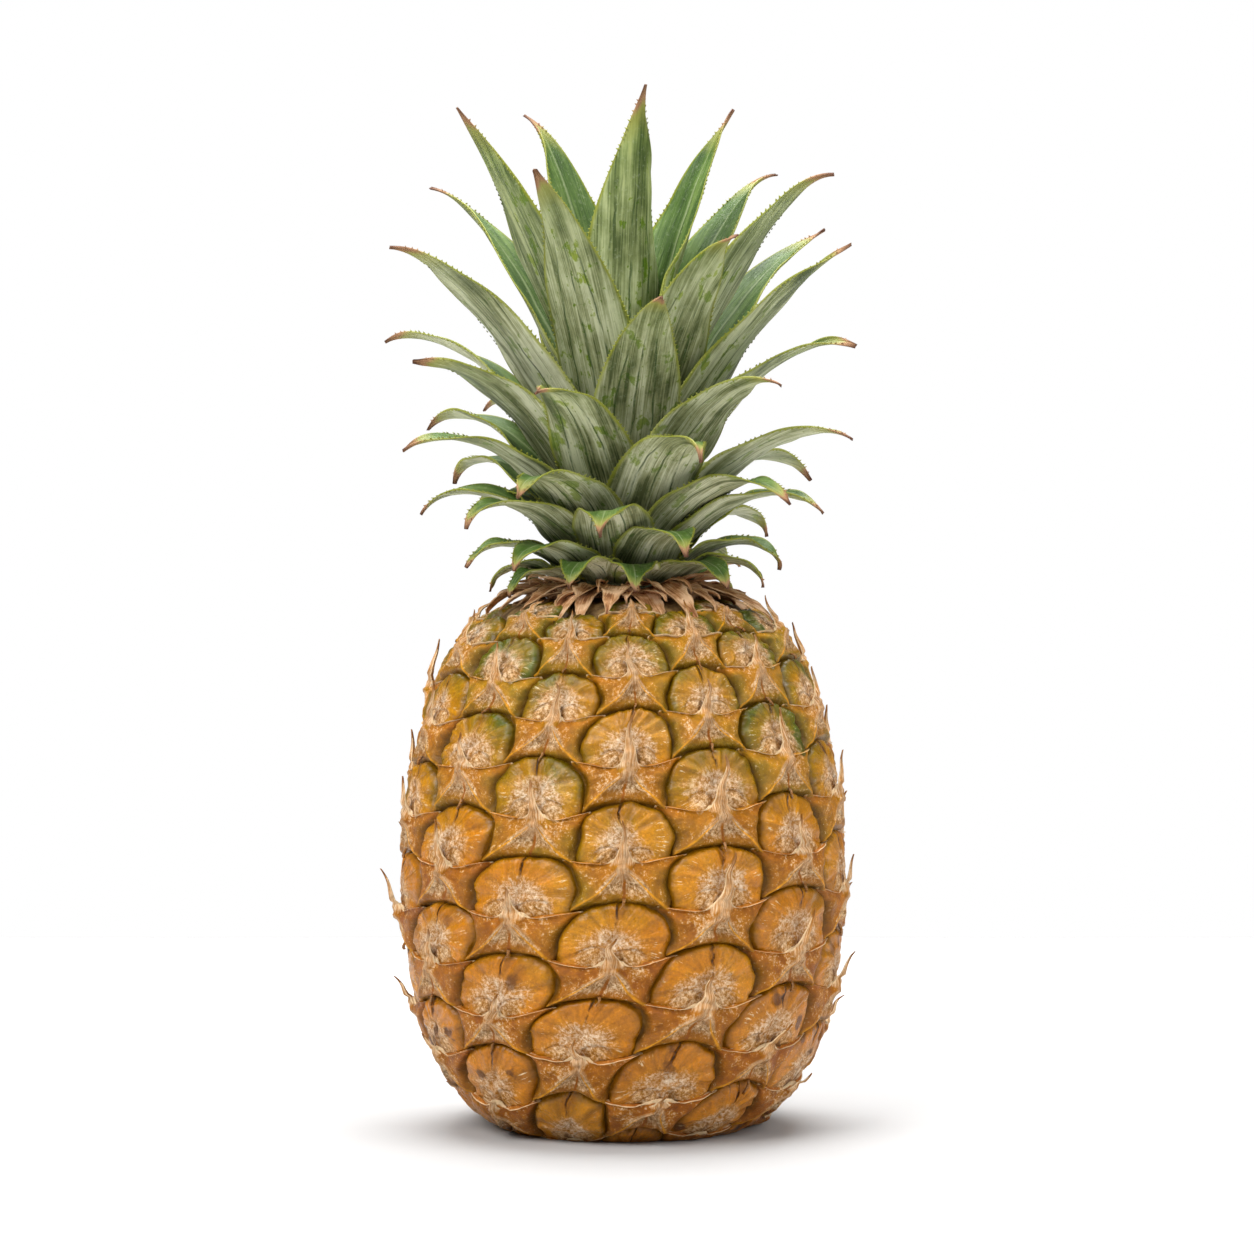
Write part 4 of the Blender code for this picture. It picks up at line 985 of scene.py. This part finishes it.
class StarPattern:
    """The flat pattern of a bract: a four-pointed star with two ridges, free along its top edge."""

    def __init__(self):
        middle = np.array(STAR_MIDDLE)
        rim, kind = [], []
        for name, points, cells in STAR_EDGE:
            line = smooth_line(points, 8)
            runs = np.concatenate(([0.0], np.cumsum(np.linalg.norm(np.diff(line, axis=0), axis=1))))
            where = np.linspace(0, runs[-1], cells + 1)[:-1]
            part = np.stack([np.interp(where, runs, line[:, axis]) for axis in (0, 1)], axis=1)
            rim.append(part)
            kind += [name] * cells
        rim = np.concatenate(rim)
        self.sectors = len(rim)
        free = np.array([name != "groove" for name in kind], dtype=float)
        flare = np.array([name == "free" for name in kind], dtype=float)
        # A groove's last point belongs to the free edge beside it, so both wing tips count as free
        free[0] = 1.0
        low = [np.argmin(np.hypot(*(rim - np.array(point)).T)) for point in (LOW_LEFT, LOW_RIGHT)]
        ridge = np.zeros(self.sectors)
        bow = np.zeros(self.sectors)
        for index, sign in zip(low, (1.0, -1.0)):
            ridge[index] = 1.0
            gap = np.abs(np.arange(self.sectors) - index)
            bow += sign * np.exp(-(gap / 5.0) ** 2)
        self.tips = [np.array(point) for point in (LEFT_WING, RIGHT_WING, LOW_LEFT, LOW_RIGHT)]
        shares = 1 - (1 - np.arange(1, STAR_RINGS + 1) / STAR_RINGS) ** 1.25
        flat = [middle[None, :]]
        crest = [np.ones(1)]
        out, sunk, edge, inward = ([np.zeros(1)] for _ in range(4))
        for share in shares:
            ring = middle + (rim - middle) * share
            ring[:, 0] += bow * ridge_bow(share)
            flat.append(ring)
            out.append(np.full(self.sectors, share))
            crest.append(ridge)
            to_rim = np.hypot(*((rim - middle) * (1 - share)).T)
            inward.append(to_rim)
            tip = sum(np.exp(-(np.hypot(*(ring - point).T) / 2.4) ** 2) for point in self.tips)
            sunk.append((1 - free) * (1 - smooth_step(to_rim / 2.0)) * (1 - 0.75 * np.minimum(tip, 1)))
            edge.append(free * np.exp(-(to_rim / 0.75) ** 2))
        # Two more rings: the thickness and underside of the free edge, and the skirt in the groove
        away = (rim - middle) / np.hypot(*(rim - middle).T)[:, None]
        flat.append(rim + away * (0.10 * free + 1.0 * (1 - free))[:, None])
        flat.append(rim + away * (-2.0 * free + 2.2 * (1 - free))[:, None])
        for _ in range(2):
            out.append(np.ones(self.sectors))
            crest.append(np.zeros(self.sectors))
            sunk.append(1 - free)
            inward.append(np.zeros(self.sectors))
        edge += [free, np.zeros(self.sectors)]
        self.flat, self.out, self.crest, self.sunk, self.edge, self.inward = (
            np.concatenate(rings) for rings in (flat, out, crest, sunk, edge, inward))
        self.free = np.concatenate([np.zeros(1)] + [free] * (STAR_RINGS + 2))
        self.flare = np.concatenate([np.zeros(1)] + [flare] * (STAR_RINGS + 2))
        self.faces = polar_faces(STAR_RINGS + 2, self.sectors)

    def rise(self, x, y, seed):
        """Height of the bract's face over the outline, away from its edges."""
        from_middle = np.hypot(x - STAR_MIDDLE[0], y - STAR_MIDDLE[1])
        lift = 0.45 + 1.0 * np.exp(-(np.hypot(x, y + 5.0) / 3.4) ** 2)
        # The two ridges, steep towards the hollow between them and gentle towards the wings
        for end, sign in ((LOW_LEFT, 1.0), (LOW_RIGHT, -1.0)):
            start, end = np.array(STAR_MIDDLE), np.array(end)
            along = np.clip(((x - start[0]) * (end[0] - start[0]) + (y - start[1]) * (end[1] - start[1]))
                            / np.sum((end - start) ** 2), 0, 1)
            bow = sign * ridge_bow(along)
            beside = x - start[0] - along * (end[0] - start[0]) - bow
            off = np.hypot(beside, y - start[1] - along * (end[1] - start[1]))
            breadth = np.where(sign * beside > 0, RIDGE_INNER_SIDE, RIDGE_OUTER_SIDE)
            height = RIDGE_HEIGHT[0] * (1 - along) + RIDGE_HEIGHT[1] * along
            lift += height * np.exp(-off / breadth) * smooth_step(from_middle / 2.5 + 0.2)
        # Each wing swells between its ridge and its free edge
        lift += WING_SWELL * np.exp(-((np.abs(x) - 9.6) / 3.4) ** 2 - ((y + 8.6) / 2.3) ** 2)
        # The hollow in the fork between the ridges
        lift -= FORK_DEPTH * np.exp(-(x / 2.6) ** 2 - ((y + 12.0) / 3.0) ** 2)
        places = places_of(x, y, 3.2, seed * 5.1)
        return lift + 0.34 * lumps(places, 3.0) + 0.15 * lumps(places * 3.0, 8.0)

    def lifts(self, seed, size):
        x, y = self.flat.T
        tip = sum(np.exp(-(np.hypot(x - point[0], y - point[1]) / 3.4) ** 2) for point in self.tips)
        lift = self.rise(x, y, seed) - 0.7 * np.minimum(tip, 1)
        # The free edge flares up a little
        flare = FREE_EDGE_FLARE * np.exp(-self.inward / 1.6) * (1 - 0.6 * np.minimum(tip, 1))
        lift += self.flare * flare * smooth_step((np.abs(x) - 3.0) / 4.0)
        # Under the foot of the spike the face tucks in
        lift -= SPIKE_FOOT_TUCK * smooth_step((y + 6.0) / 1.5) * np.exp(-(x / 2.8) ** 4)
        lift *= size
        lift -= (GROOVE_DEPTH + 0.5) * self.sunk
        last = self.sectors
        free = self.free[-last:] > 0
        at_edge = lift[-3 * last:-2 * last]
        lift[-2 * last:-last] = np.where(free, at_edge - FREE_EDGE_THICKNESS, -GROOVE_DEPTH)
        lift[-last:] = np.where(free, at_edge - FREE_EDGE_TUCK, -GROOVE_DEPTH - STAR_SKIRT_DROP)
        return lift


def spike_strip(body, star, eye, size, lean, seed, chance, level):
    """The papery spike of a bract: it lies on the bract's face, then stands over the dome to a dry tip."""
    high = smooth_step((level - SHORT_SPIKES_TO) / (LONG_SPIKES_FROM - SHORT_SPIKES_TO))
    length = SPIKE_LENGTH * (1 + high) / 2 * size * chance.uniform(0.8, 1.12)
    stand = chance.uniform(0.6, 1.2) * size
    hook = chance.uniform(-0.6, 2.4)
    bend = chance.uniform(-1.0, 1.0)
    shares, halves = zip(*SPIKE_SHAPE)
    root = float(star.rise(np.zeros(1), np.full(1, SPIKE_FREE_FROM), seed)[0])
    flat, lift, spot, zone, edge, grain = [], [], [], [], [], []
    for row in range(SPIKE_ROWS + 1):
        share = shares[0] + (shares[-1] - shares[0]) * row / SPIKE_ROWS
        over = max(share, 0.0)
        half = float(np.interp(share, shares, halves)) * (0.8 + 0.2 * high)
        y = WING_LINE + share * length
        middle = (lean + bend * math.sin(over * math.pi)) * over ** 1.3
        middle += 0.35 * math.sin(over * 9 + eye) * over
        x = middle + half * np.linspace(-1, 1, SPIKE_COLUMNS + 1)
        on_face = star.rise(x, np.full(len(x), y), seed)
        free = smooth_step((y - SPIKE_FREE_FROM) / 1.6)
        grown = smooth_step((share - shares[0]) * length / 1.6)
        rise = root + 0.35 + 0.95 * stand * over ** 1.8 + 0.7 * hook * (max(over - 0.6, 0.0) / 0.4) ** 2
        for index, column in enumerate(np.linspace(-1, 1, SPIKE_COLUMNS + 1)):
            side = abs(column)
            flat.append((x[index], y))
            fold = 0.12 * math.cos(column * 7 + eye) * min(half, 1.0)
            keel = rise - (0.75 * side ** 1.5) * min(half, 1.5) + fold
            laid = on_face[index] + (0.30 * (1 - side ** 2) + 0.12) * grown - 0.06
            height = keel * free + laid * (1 - free)
            lift.append(size * (max(height, laid) if y < SPIKE_FREE_FROM + 1.0 else height))
            spot.append((half * column, y, 0.0))
            zone.append((0.0, 0.0, 0.0))
            edge.append((1.0 if side > 0.99 and 0.05 < share < 0.8 else 0.0, max(share + 0.10, 0.0), 0.0))
            grain.append((half * column / 0.24, y / 7.0, eye * 3.7))
    flat, lift = np.array(flat), np.array(lift)
    upper = body.points(eye, flat, lift)
    lower = body.points(eye, flat, lift - SPIKE_THICKNESS)
    wide = SPIKE_COLUMNS + 1
    faces = []
    for row in range(SPIKE_ROWS):
        for column in range(SPIKE_COLUMNS):
            corner = row * wide + column
            faces.append((corner, corner + 1, corner + wide + 1, corner + wide))
    count = len(flat)
    faces += [tuple(corner + count for corner in face[::-1]) for face in faces]
    for row in range(SPIKE_ROWS):
        left, right = row * wide, row * wide + SPIKE_COLUMNS
        faces.append((left, left + wide, left + wide + count, left + count))
        faces.append((right + wide, right, right + count, right + wide + count))
    end = SPIKE_ROWS * wide
    faces += [(end + c, end + c + 1, end + c + 1 + count, end + c + count) for c in range(SPIKE_COLUMNS)]
    return np.concatenate((upper, lower)), faces, dict(
        spot=np.array(spot * 2), zone=np.array(zone * 2), edge=np.array(edge * 2), grain=np.array(grain * 2))


def spur(body, eye, size, chance):
    """The rib's dry end: a short brown thorn over the groove and onto the dome below."""
    end = np.array((chance.uniform(-1.2, 1.2), SPUR_FROM - chance.uniform(2.0, 3.6)))
    flat, lift = [], []
    for row in range(SPUR_ROWS + 1):
        share = row / SPUR_ROWS
        middle = np.array((0.0, SPUR_FROM)) * (1 - share) + end * share
        middle[0] += 0.3 * math.sin(share * 5 + eye)
        half = SPUR_HALF_WIDTH * (1 - 0.8 * share)
        rise = size * (0.9 + 0.9 * math.sin(share * math.pi * 0.7))
        for column in (-1, 0, 1):
            flat.append((middle[0] + half * column, middle[1]))
            lift.append(rise - 0.35 * abs(column))
    flat, lift = np.array(flat), np.array(lift)
    points = np.concatenate((body.points(eye, flat, lift), body.points(eye, flat, lift - SPUR_THICKNESS)))
    count = len(flat)
    faces = []
    for row in range(SPUR_ROWS):
        left, right = 3 * row, 3 * row + 2
        for corner in (left, left + 1):
            faces.append((corner + 3, corner + 4, corner + 1, corner))
            faces.append(tuple(one + count for one in (corner, corner + 1, corner + 4, corner + 3)))
        faces.append((left, left + count, left + count + 3, left + 3))
        faces.append((right + 3, right + count + 3, right + count, right))
    fields = dict(spot=np.column_stack((flat, np.zeros(count))), zone=np.zeros((count, 3)),
                  edge=np.tile((0.0, 0.95, 0.0), (count, 1)),
                  grain=np.column_stack((flat / 0.3, np.full(count, eye * 2.9))))
    return points, faces, {name: np.concatenate((values, values)) for name, values in fields.items()}


def flatten_foot(points):
    """What lies below the table is pressed flat onto it."""
    points[:, 2] = np.maximum(points[:, 2], PRESSED_HEIGHT)
    return points


def make_eyes(body, rind, bract):
    """Domes and bracts in one piece of each kind per upright column of eyes."""
    dome, star = DomePattern(), StarPattern()
    for column in range(COLUMNS):
        domes, bracts = Sheet(), Sheet()
        for eye in range(FIRST_EYE, LAST_EYE + 1):
            if eye % COLUMNS != column:
                continue
            chance = random.Random(FIRST_EYE_SEED + eye)
            size = 1 + chance.uniform(-EYE_SIZE_SPREAD, EYE_SIZE_SPREAD)
            lean = chance.uniform(-SPIKE_LEAN, SPIKE_LEAN)
            tone = chance.random()
            own_seed = chance.uniform(0, 50)
            middle = body.points(eye, np.array([[0.0, 0.0]]), np.zeros(1))[0]
            if middle[2] > BODY_TOP + 0.5 * MM:
                continue
            points = flatten_foot(body.points(eye, dome.lobed(own_seed), dome.lifts(own_seed, size)))
            tones = np.full(len(points), tone)
            spot = np.column_stack((dome.flat, tones))
            domes.add(points, dome.faces, spot=spot, zone=np.column_stack((dome.rim, tones, tones)))
            points = flatten_foot(body.points(eye, star.flat, star.lifts(own_seed, size)))
            tones = np.full(len(points), tone)
            from_middle = star.flat - np.array(STAR_MIDDLE)
            far = np.maximum(np.hypot(*from_middle.T), 0.01)[:, None]
            grain = np.column_stack((from_middle / far * 17.0, far[:, 0] / 7.0 + own_seed))
            bracts.add(points, star.faces, spot=np.column_stack((star.flat, tones)),
                       zone=np.column_stack((star.out, tones, star.crest)),
                       edge=np.column_stack((star.edge, np.zeros(len(points)), star.sunk)), grain=grain)
            points, faces, fields = spike_strip(body, star, eye, size, lean, own_seed, chance, middle[2])
            if middle[2] > LOWEST_SPIKE:
                bracts.add(flatten_foot(points), faces, **fields)
            if middle[2] > LOWEST_SPUR and chance.random() < SPUR_CHANCE:
                points, faces, fields = spur(body, eye, size, chance)
                bracts.add(points, faces, **fields)
        domes.piece(f"domes_{column:02d}", rind, "skin", "fruit")
        bracts.piece(f"bracts_{column:02d}", bract, "skin", "fruit")


def turned_sheet(profile, sides):
    """Points and faces of a turned skin through (radius, height) points, in metres."""
    turns = np.arange(sides) * 2 * math.pi / sides
    points = [(radius * math.sin(turn), -radius * math.cos(turn), height)
              for radius, height in profile for turn in turns]
    return np.array(points), tube_faces(len(profile) - 1, sides)


def make_under_skin(body, material):
    """The rind under the eyes, with the flat foot, the hollow for the stalk and the top under the crown."""
    along = np.linspace(body.foot, body.top, 60)
    depth = (GROOVE_DEPTH + UNDER_SKIN_DROP) * MM * body.fade(along)
    radius, height, out_radial, out_up = (
        np.interp(along, body.distance, line)
        for line in (body.radius, body.height, body.out_radial, body.out_up))
    skin = zip(radius - depth * out_radial, np.maximum(height - depth * out_up, 0.5 * MM))
    profile = [*(np.array(HOLLOW_OUTLINE) * MM), *skin, *(np.array(TOP_OUTLINE) * MM)]
    sheet = Sheet()
    sheet.add(*turned_sheet(profile, 96))
    sheet.piece("under_skin", material, "skin", "fruit")


def make_stalk(material):
    """The cut stalk: a fibrous disc with a softened, slightly ragged edge and a sunk pith."""
    points, faces = turned_sheet(np.array(STALK_OUTLINE) * MM, 72)
    rough = lumps(points * 600.0)
    points[:, :2] *= (1 + 0.006 * rough)[:, None]
    points[:, 2] += np.where(points[:, 2] < 1.5 * MM, np.abs(rough) * 0.25 * MM, 0.0)
    sheet = Sheet()
    sheet.add(points, [face[::-1] for face in faces])
    sheet.piece("stalk_end", material, "stalk", "stalk_stub")


def leaf_stage(level):
    levels = [stage[0] for stage in LEAF_STAGES]
    return [float(np.interp(level, levels, [stage[column] for stage in LEAF_STAGES]))
            for column in range(1, len(LEAF_STAGES[0]))]


def leaf_width(along):
    """Half width along the leaf, as a share of its greatest."""
    if along < WIDEST_AT:
        return ROOT_WIDTH + (1 - ROOT_WIDTH) * math.sin(math.pi / 2 * along / WIDEST_AT)
    past = (along - WIDEST_AT) / (1 - WIDEST_AT)
    return TIP_WIDTH + (1 - TIP_WIDTH) * (1 - past ** TAPER_START) ** TAPER_END


class Blade:
    """A channelled blade that leaves its root along a bending line, with its frame at every row."""

    def __init__(self, rows, around, root, leans, length, half_width, cup, sway, roll,
                 hook=0.0, twist=0.0, width=leaf_width):
        self.rows = rows
        self.length = length
        out = Vector((math.sin(around), -math.cos(around), 0))
        side = Vector((math.cos(around), math.sin(around), 0))
        up = Vector((0, 0, 1))
        place = out * root[0] + up * root[1]
        self.frames = []
        for row in range(rows + 1):
            along = row / rows
            lean = self.lean(leans, hook, along)
            forward = out * math.sin(lean) + up * math.cos(lean)
            back = out * math.cos(lean) - up * math.sin(lean)
            near_tip = max(along - TWIST_FROM, 0.0) / (1 - TWIST_FROM)
            turn = Matrix.Rotation(roll * along ** 2 + twist * near_tip ** 2, 3, forward)
            middle = place + side * sway * along ** 2
            half = half_width * width(along)
            from_axis = max(middle.xy.length, MM)
            curl = min(max(half * math.cos(lean) / from_axis, cup), MOST_CUP) + TIP_CURL * near_tip
            self.frames.append((middle.copy(), turn @ side, turn @ back, forward, half, curl))
            for part in range(BEND_PARTS):
                onward = (row + (part + 0.5) / BEND_PARTS) / rows
                lean = self.lean(leans, hook, onward)
                place = place + (out * math.sin(lean) + up * math.cos(lean)) * length / rows / BEND_PARTS

    @staticmethod
    def lean(leans, hook, along):
        near_tip = max((along - HOOK_FROM) / (1 - HOOK_FROM), 0.0)
        return leans[0] + (leans[1] - leans[0]) * along ** LEAN_POWER + hook * near_tip ** 2

    def at(self, row, across, lift=0.0):
        """A point across the blade at a row, lifted off its middle sheet towards its outer face."""
        middle, side, back, _, half, curl = self.frames[row]
        angle = across * curl
        radius = half / curl
        normal = side * math.sin(angle) + back * math.cos(angle)
        around = side * radius * math.sin(angle) - back * radius * (1 - math.cos(angle))
        return middle + around + normal * lift


def crown_leaves():
    """Every leaf, with its direction in radians: those seen, and partners on the far side."""
    leaves = []
    for degrees, level, *shape in SEEN_LEAVES:
        leaves.append((math.radians(degrees), level, *shape))
        if abs(degrees) < PAIRED_WITHIN and level < PAIRED_BELOW:
            leaves.append((math.radians(degrees + 180), level, *shape))
    return leaves


def make_leaf(number, blade, level, chance, material):
    """One leaf: both faces of the blade as a closed skin, and the spines along its margins."""
    sheet = Sheet()
    columns = np.linspace(-1, 1, LEAF_COLUMNS + 1)
    seed = chance.uniform(0, 100)
    fresh = 0.45 * max(level - 0.6, 0) / 0.4 + chance.uniform(-0.08, 0.10)
    points, blades, spans, kinds = [], [], [], []
    for row in range(blade.rows + 1):
        along = row / blade.rows
        half = blade.frames[row][4]
        taper = 1 - 0.6 * along
        for inner in (0, 1):
            for across in (columns if not inner else columns[::-1]):
                thick = MARGIN_THICKNESS + (MIDRIB_THICKNESS * taper - MARGIN_THICKNESS) * (1 - across ** 2)
                wave = 0.5 * MM * abs(across) ** 2 * math.sin(along * 19 + seed + 2.4 * across)
                wave += 0.35 * MM * noise.noise(Vector((across * 2.5, along * 9.0, seed)))
                lift = wave * min(along * 6, 1) + (thick / 2 if not inner else -thick / 2)
                points.append(blade.at(row, across, lift))
                blades.append((across, along, level))
                spans.append((across * half / MM, along * blade.length / MM, seed))
                kinds.append((inner, 0.0, fresh))
    sheet.add(points, closed_tube(blade.rows, len(columns) * 2), blade=blades, span=spans, kind=kinds)
    add_spines(sheet, blade, level, seed, chance)
    sheet.piece(f"leaf_{number:02d}", material, "leaf", "crown")


def add_spines(sheet, blade, level, seed, chance):
    """Small hooked spines along both margins."""
    count = int(blade.length * TOOTHED_SHARE / TOOTH_SPACING)
    for edge in (-1.0, 1.0):
        for index in range(count):
            along = FIRST_TOOTH + TOOTHED_SHARE * (index + chance.uniform(-0.22, 0.22) + 0.5) / count
            row = min(along * blade.rows, blade.rows - 1.001)
            low = int(row)
            share = row - low
            foot = blade.at(low, edge).lerp(blade.at(low + 1, edge), share)
            _, side, back, forward, half, curl = blade.frames[low]
            outward = (side * math.cos(curl) * edge - back * math.sin(curl)).normalized()
            height = TOOTH_HEIGHT * chance.uniform(0.6, 1.25)
            flank = back * TOOTH_FLANK
            tip = foot + outward * height + forward * TOOTH_HOOK
            inside = foot - outward * TOOTH_SUNK
            points = [inside - forward * TOOTH_ROOT, inside + flank, inside + forward * TOOTH_ROOT,
                      inside - flank, tip]
            faces = [(0, 1, 4), (1, 2, 4), (2, 3, 4), (3, 0, 4)]
            blades = [(edge, along, level)] * 5
            spans = [(edge * half / MM, along * blade.length / MM, seed)] * 5
            sheet.add(points, faces, blade=blades, span=spans, kind=[(0.0, 0.9, 0.0)] * 5)


def make_crown(leaf):
    chance = random.Random(LEAF_SEED)
    details = random.Random(LEAF_SEED + 1)
    for number, (around, level, broad, long, root_lean, tip_lean) in enumerate(crown_leaves()):
        radius, height, first, last, length, half_width = leaf_stage(level)
        sway = chance.uniform(-LEAF_SWAY, LEAF_SWAY) * level
        roll = chance.uniform(-LEAF_ROLL, LEAF_ROLL)
        stretch = 1 + chance.uniform(-LEAF_STRETCH, LEAF_STRETCH)
        leans = (math.radians(first + root_lean), math.radians(last + tip_lean))
        blade = Blade(LEAF_ROWS, around, (radius * MM, height * MM), leans,
                      length * long * stretch * MM, half_width * broad * MM, LEAF_CUP, sway, roll,
                      hook=details.uniform(-0.2, 0.7), twist=details.uniform(-0.9, 0.9))
        make_leaf(number, blade, level, details, leaf)
    points, faces = turned_sheet(np.array(STEM_OUTLINE) * MM, 32)
    sheet = Sheet()
    count = len(points)
    sheet.add(points, faces, blade=np.tile((0.4, 0.1, 0.3), (count, 1)),
              span=points / MM, kind=np.zeros((count, 3)))
    sheet.piece("crown_stem", leaf, "leaf", "crown")


def flap_width(along):
    """Half width of a dry flap: broad at its root, then a long torn point."""
    return max((0.80 + 0.20 * math.sin(math.pi * min(along / 0.4, 1.0))) * (1 - along ** 2.2), 0.05)


def add_flap(sheet, blade, chance):
    """One dry flap: a thin torn sheet, with ragged margins and a wavy face."""
    columns = np.linspace(-1, 1, FLAP_COLUMNS + 1)
    seed = chance.uniform(0, 100)
    points, blades, spans = [], [], []
    for row in range(blade.rows + 1):
        along = row / blade.rows
        half = blade.frames[row][4]
        for inner in (0, 1):
            for across in (columns if not inner else columns[::-1]):
                torn = 1 + 0.28 * noise.noise(Vector((across * 0.5, along * 11.0, seed))) * abs(across)
                ripple = 0.55 * MM * noise.noise(Vector((across * 1.6, along * 4.0, seed + 9)))
                points.append(blade.at(row, across * torn, ripple + (0.15 if not inner else -0.15) * MM))
                blades.append((across, along, 0.0))
                spans.append((across * half / MM, along * blade.length / MM, seed))
    sheet.add(points, closed_tube(blade.rows, len(columns) * 2), blade=blades, span=spans)


def make_collar(material):
    """The ragged ring of dead leaves at the foot of the crown."""
    chance = random.Random(FLAP_SEED)
    details = random.Random(SHRED_SEED)
    sheet = Sheet()
    rise = STEM_FOOT + COLLAR_HEIGHT / 2
    for number in range(FLAP_COUNT):
        around = 2 * math.pi * (number + chance.uniform(-FLAP_SHIFT, FLAP_SHIFT)) / FLAP_COUNT
        leans = (math.radians(chance.uniform(*FLAP_ROOT_LEAN)), math.radians(chance.uniform(*FLAP_TIP_LEAN)))
        length = chance.uniform(*FLAP_LENGTH) * MM
        half_width = chance.uniform(*FLAP_HALF_WIDTH) * MM
        roll = chance.uniform(-FLAP_ROLL, FLAP_ROLL)
        blade = Blade(FLAP_ROWS, around, (FLAP_ROOT, rise), leans, length, half_width, FLAP_CUP, 0.0, roll,
                      hook=details.uniform(-0.3, 1.2), twist=details.uniform(-1.2, 1.2), width=flap_width)
        add_flap(sheet, blade, details)
    for kind in (DRAPES, SHREDS):
        for number in range(STRIPS_IN_RING):
            around = 2 * math.pi * (number + details.uniform(-kind["stray"], kind["stray"])) / STRIPS_IN_RING
            leans = [math.radians(details.uniform(*kind[lean])) for lean in ("root_lean", "tip_lean")]
            root = [details.uniform(*kind[size]) * MM for size in ("radius", "height")]
            length, half_width = (details.uniform(*kind[size]) * MM for size in ("length", "half_width"))
            cup = details.uniform(*kind["cup"])
            sway = details.uniform(-STRIP_SWAY, STRIP_SWAY) * MM
            roll = details.uniform(-kind["roll"], kind["roll"])
            blade = Blade(kind["rows"], around, root, leans, length, half_width, cup, sway, roll,
                          hook=details.uniform(*kind["hook"]),
                          twist=details.uniform(-kind["twist"], kind["twist"]), width=flap_width)
            add_flap(sheet, blade, details)
    points, faces = turned_sheet(np.array(COLLAR_BAND) * MM, 60)
    points[:, 2] += 0.3 * MM * lumps(points * 250.0) * (points[:, 2] > 147 * MM)
    count = len(points)
    sheet.add(points, faces, blade=np.tile((0.2, 0.2, 0.0), (count, 1)), span=points / MM)
    sheet.piece("dry_collar_flaps", material, "dry_flap", "dry_collar")


def make_stage():
    """A plain white table in a white room, soft lamps above it, and the camera."""
    scene = bpy.context.scene
    scene.view_settings.view_transform = "Standard"
    scene.view_settings.look = "None"
    world = bpy.data.worlds.new("white_room")
    world.use_nodes = True
    scene.world = world
    tree = world.node_tree
    seen = tree.nodes["Background"]
    seen.inputs["Color"].default_value = linear("ffffff")
    seen.inputs["Strength"].default_value = BACKDROP_SEEN
    glow = add(tree, "Background", {"Color": "ffffff", "Strength": ROOM_GLOW})
    to_camera = add(tree, "LightPath", {}).outputs["Is Camera Ray"]
    both = add(tree, "MixShader", {0: to_camera, 1: glow, 2: seen})
    tree.links.new(both.outputs["Shader"], tree.nodes["World Output"].inputs["Surface"])

    material, tree, shader, place = new_material("white_table", 0.9, 1.45)
    shader.inputs["Specular IOR Level"].default_value = 0.1
    grain = add(tree, "TexNoise", {"Vector": place, "Scale": 1 / (25 * MM)})
    paper = add(tree, "ValToRGB", {"Fac": grain})
    set_stops(paper, ((0.0, "b7b7b7"), (1.0, "bababa")))
    tree.links.new(paper.outputs["Color"], shader.inputs["Base Color"])
    across, front, back = TABLE_EDGES
    mesh = bpy.data.meshes.new("table")
    mesh.from_pydata([(-across, front, 0), (across, front, 0), (across, back, 0), (-across, back, 0)], [],
                     [(0, 1, 2, 3)])
    mesh.materials.append(material)
    table = bpy.data.objects.new("table", mesh)
    scene.collection.objects.link(table)

    for name, spot, size, power in LAMPS:
        lamp = bpy.data.lights.new(name, "AREA")
        lamp.shape = "SQUARE"
        lamp.size = size
        lamp.energy = power
        thing = bpy.data.objects.new(name, lamp)
        thing.location = spot
        aim = Vector((0, 0, LAMP_AIM_HEIGHT)) - Vector(spot)
        thing.rotation_euler = aim.to_track_quat("-Z", "Y").to_euler()
        scene.collection.objects.link(thing)

    camera = bpy.data.cameras.new("camera")
    camera.sensor_width = SENSOR_WIDTH
    camera.lens = SENSOR_WIDTH * CAMERA_DISTANCE / (PHOTO_SIDE * PIXEL)
    camera.clip_start = 0.05
    camera.clip_end = 50.0
    view = bpy.data.objects.new("camera", camera)
    beside = (PHOTO_SIDE / 2 - AXIS_COLUMN) * PIXEL
    view.location = (beside, -CAMERA_DISTANCE, CAMERA_HEIGHT)
    view.rotation_euler = (math.pi / 2, 0, 0)
    scene.collection.objects.link(view)
    scene.camera = view


def main():
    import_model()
    body = Body()
    make_eyes(body, waxy_rind(), dry_bract())
    make_under_skin(body, groove_rind())
    make_stalk(cut_stalk())
    make_crown(spined_leaf())
    make_collar(dead_leaf())
    make_stage()


main()
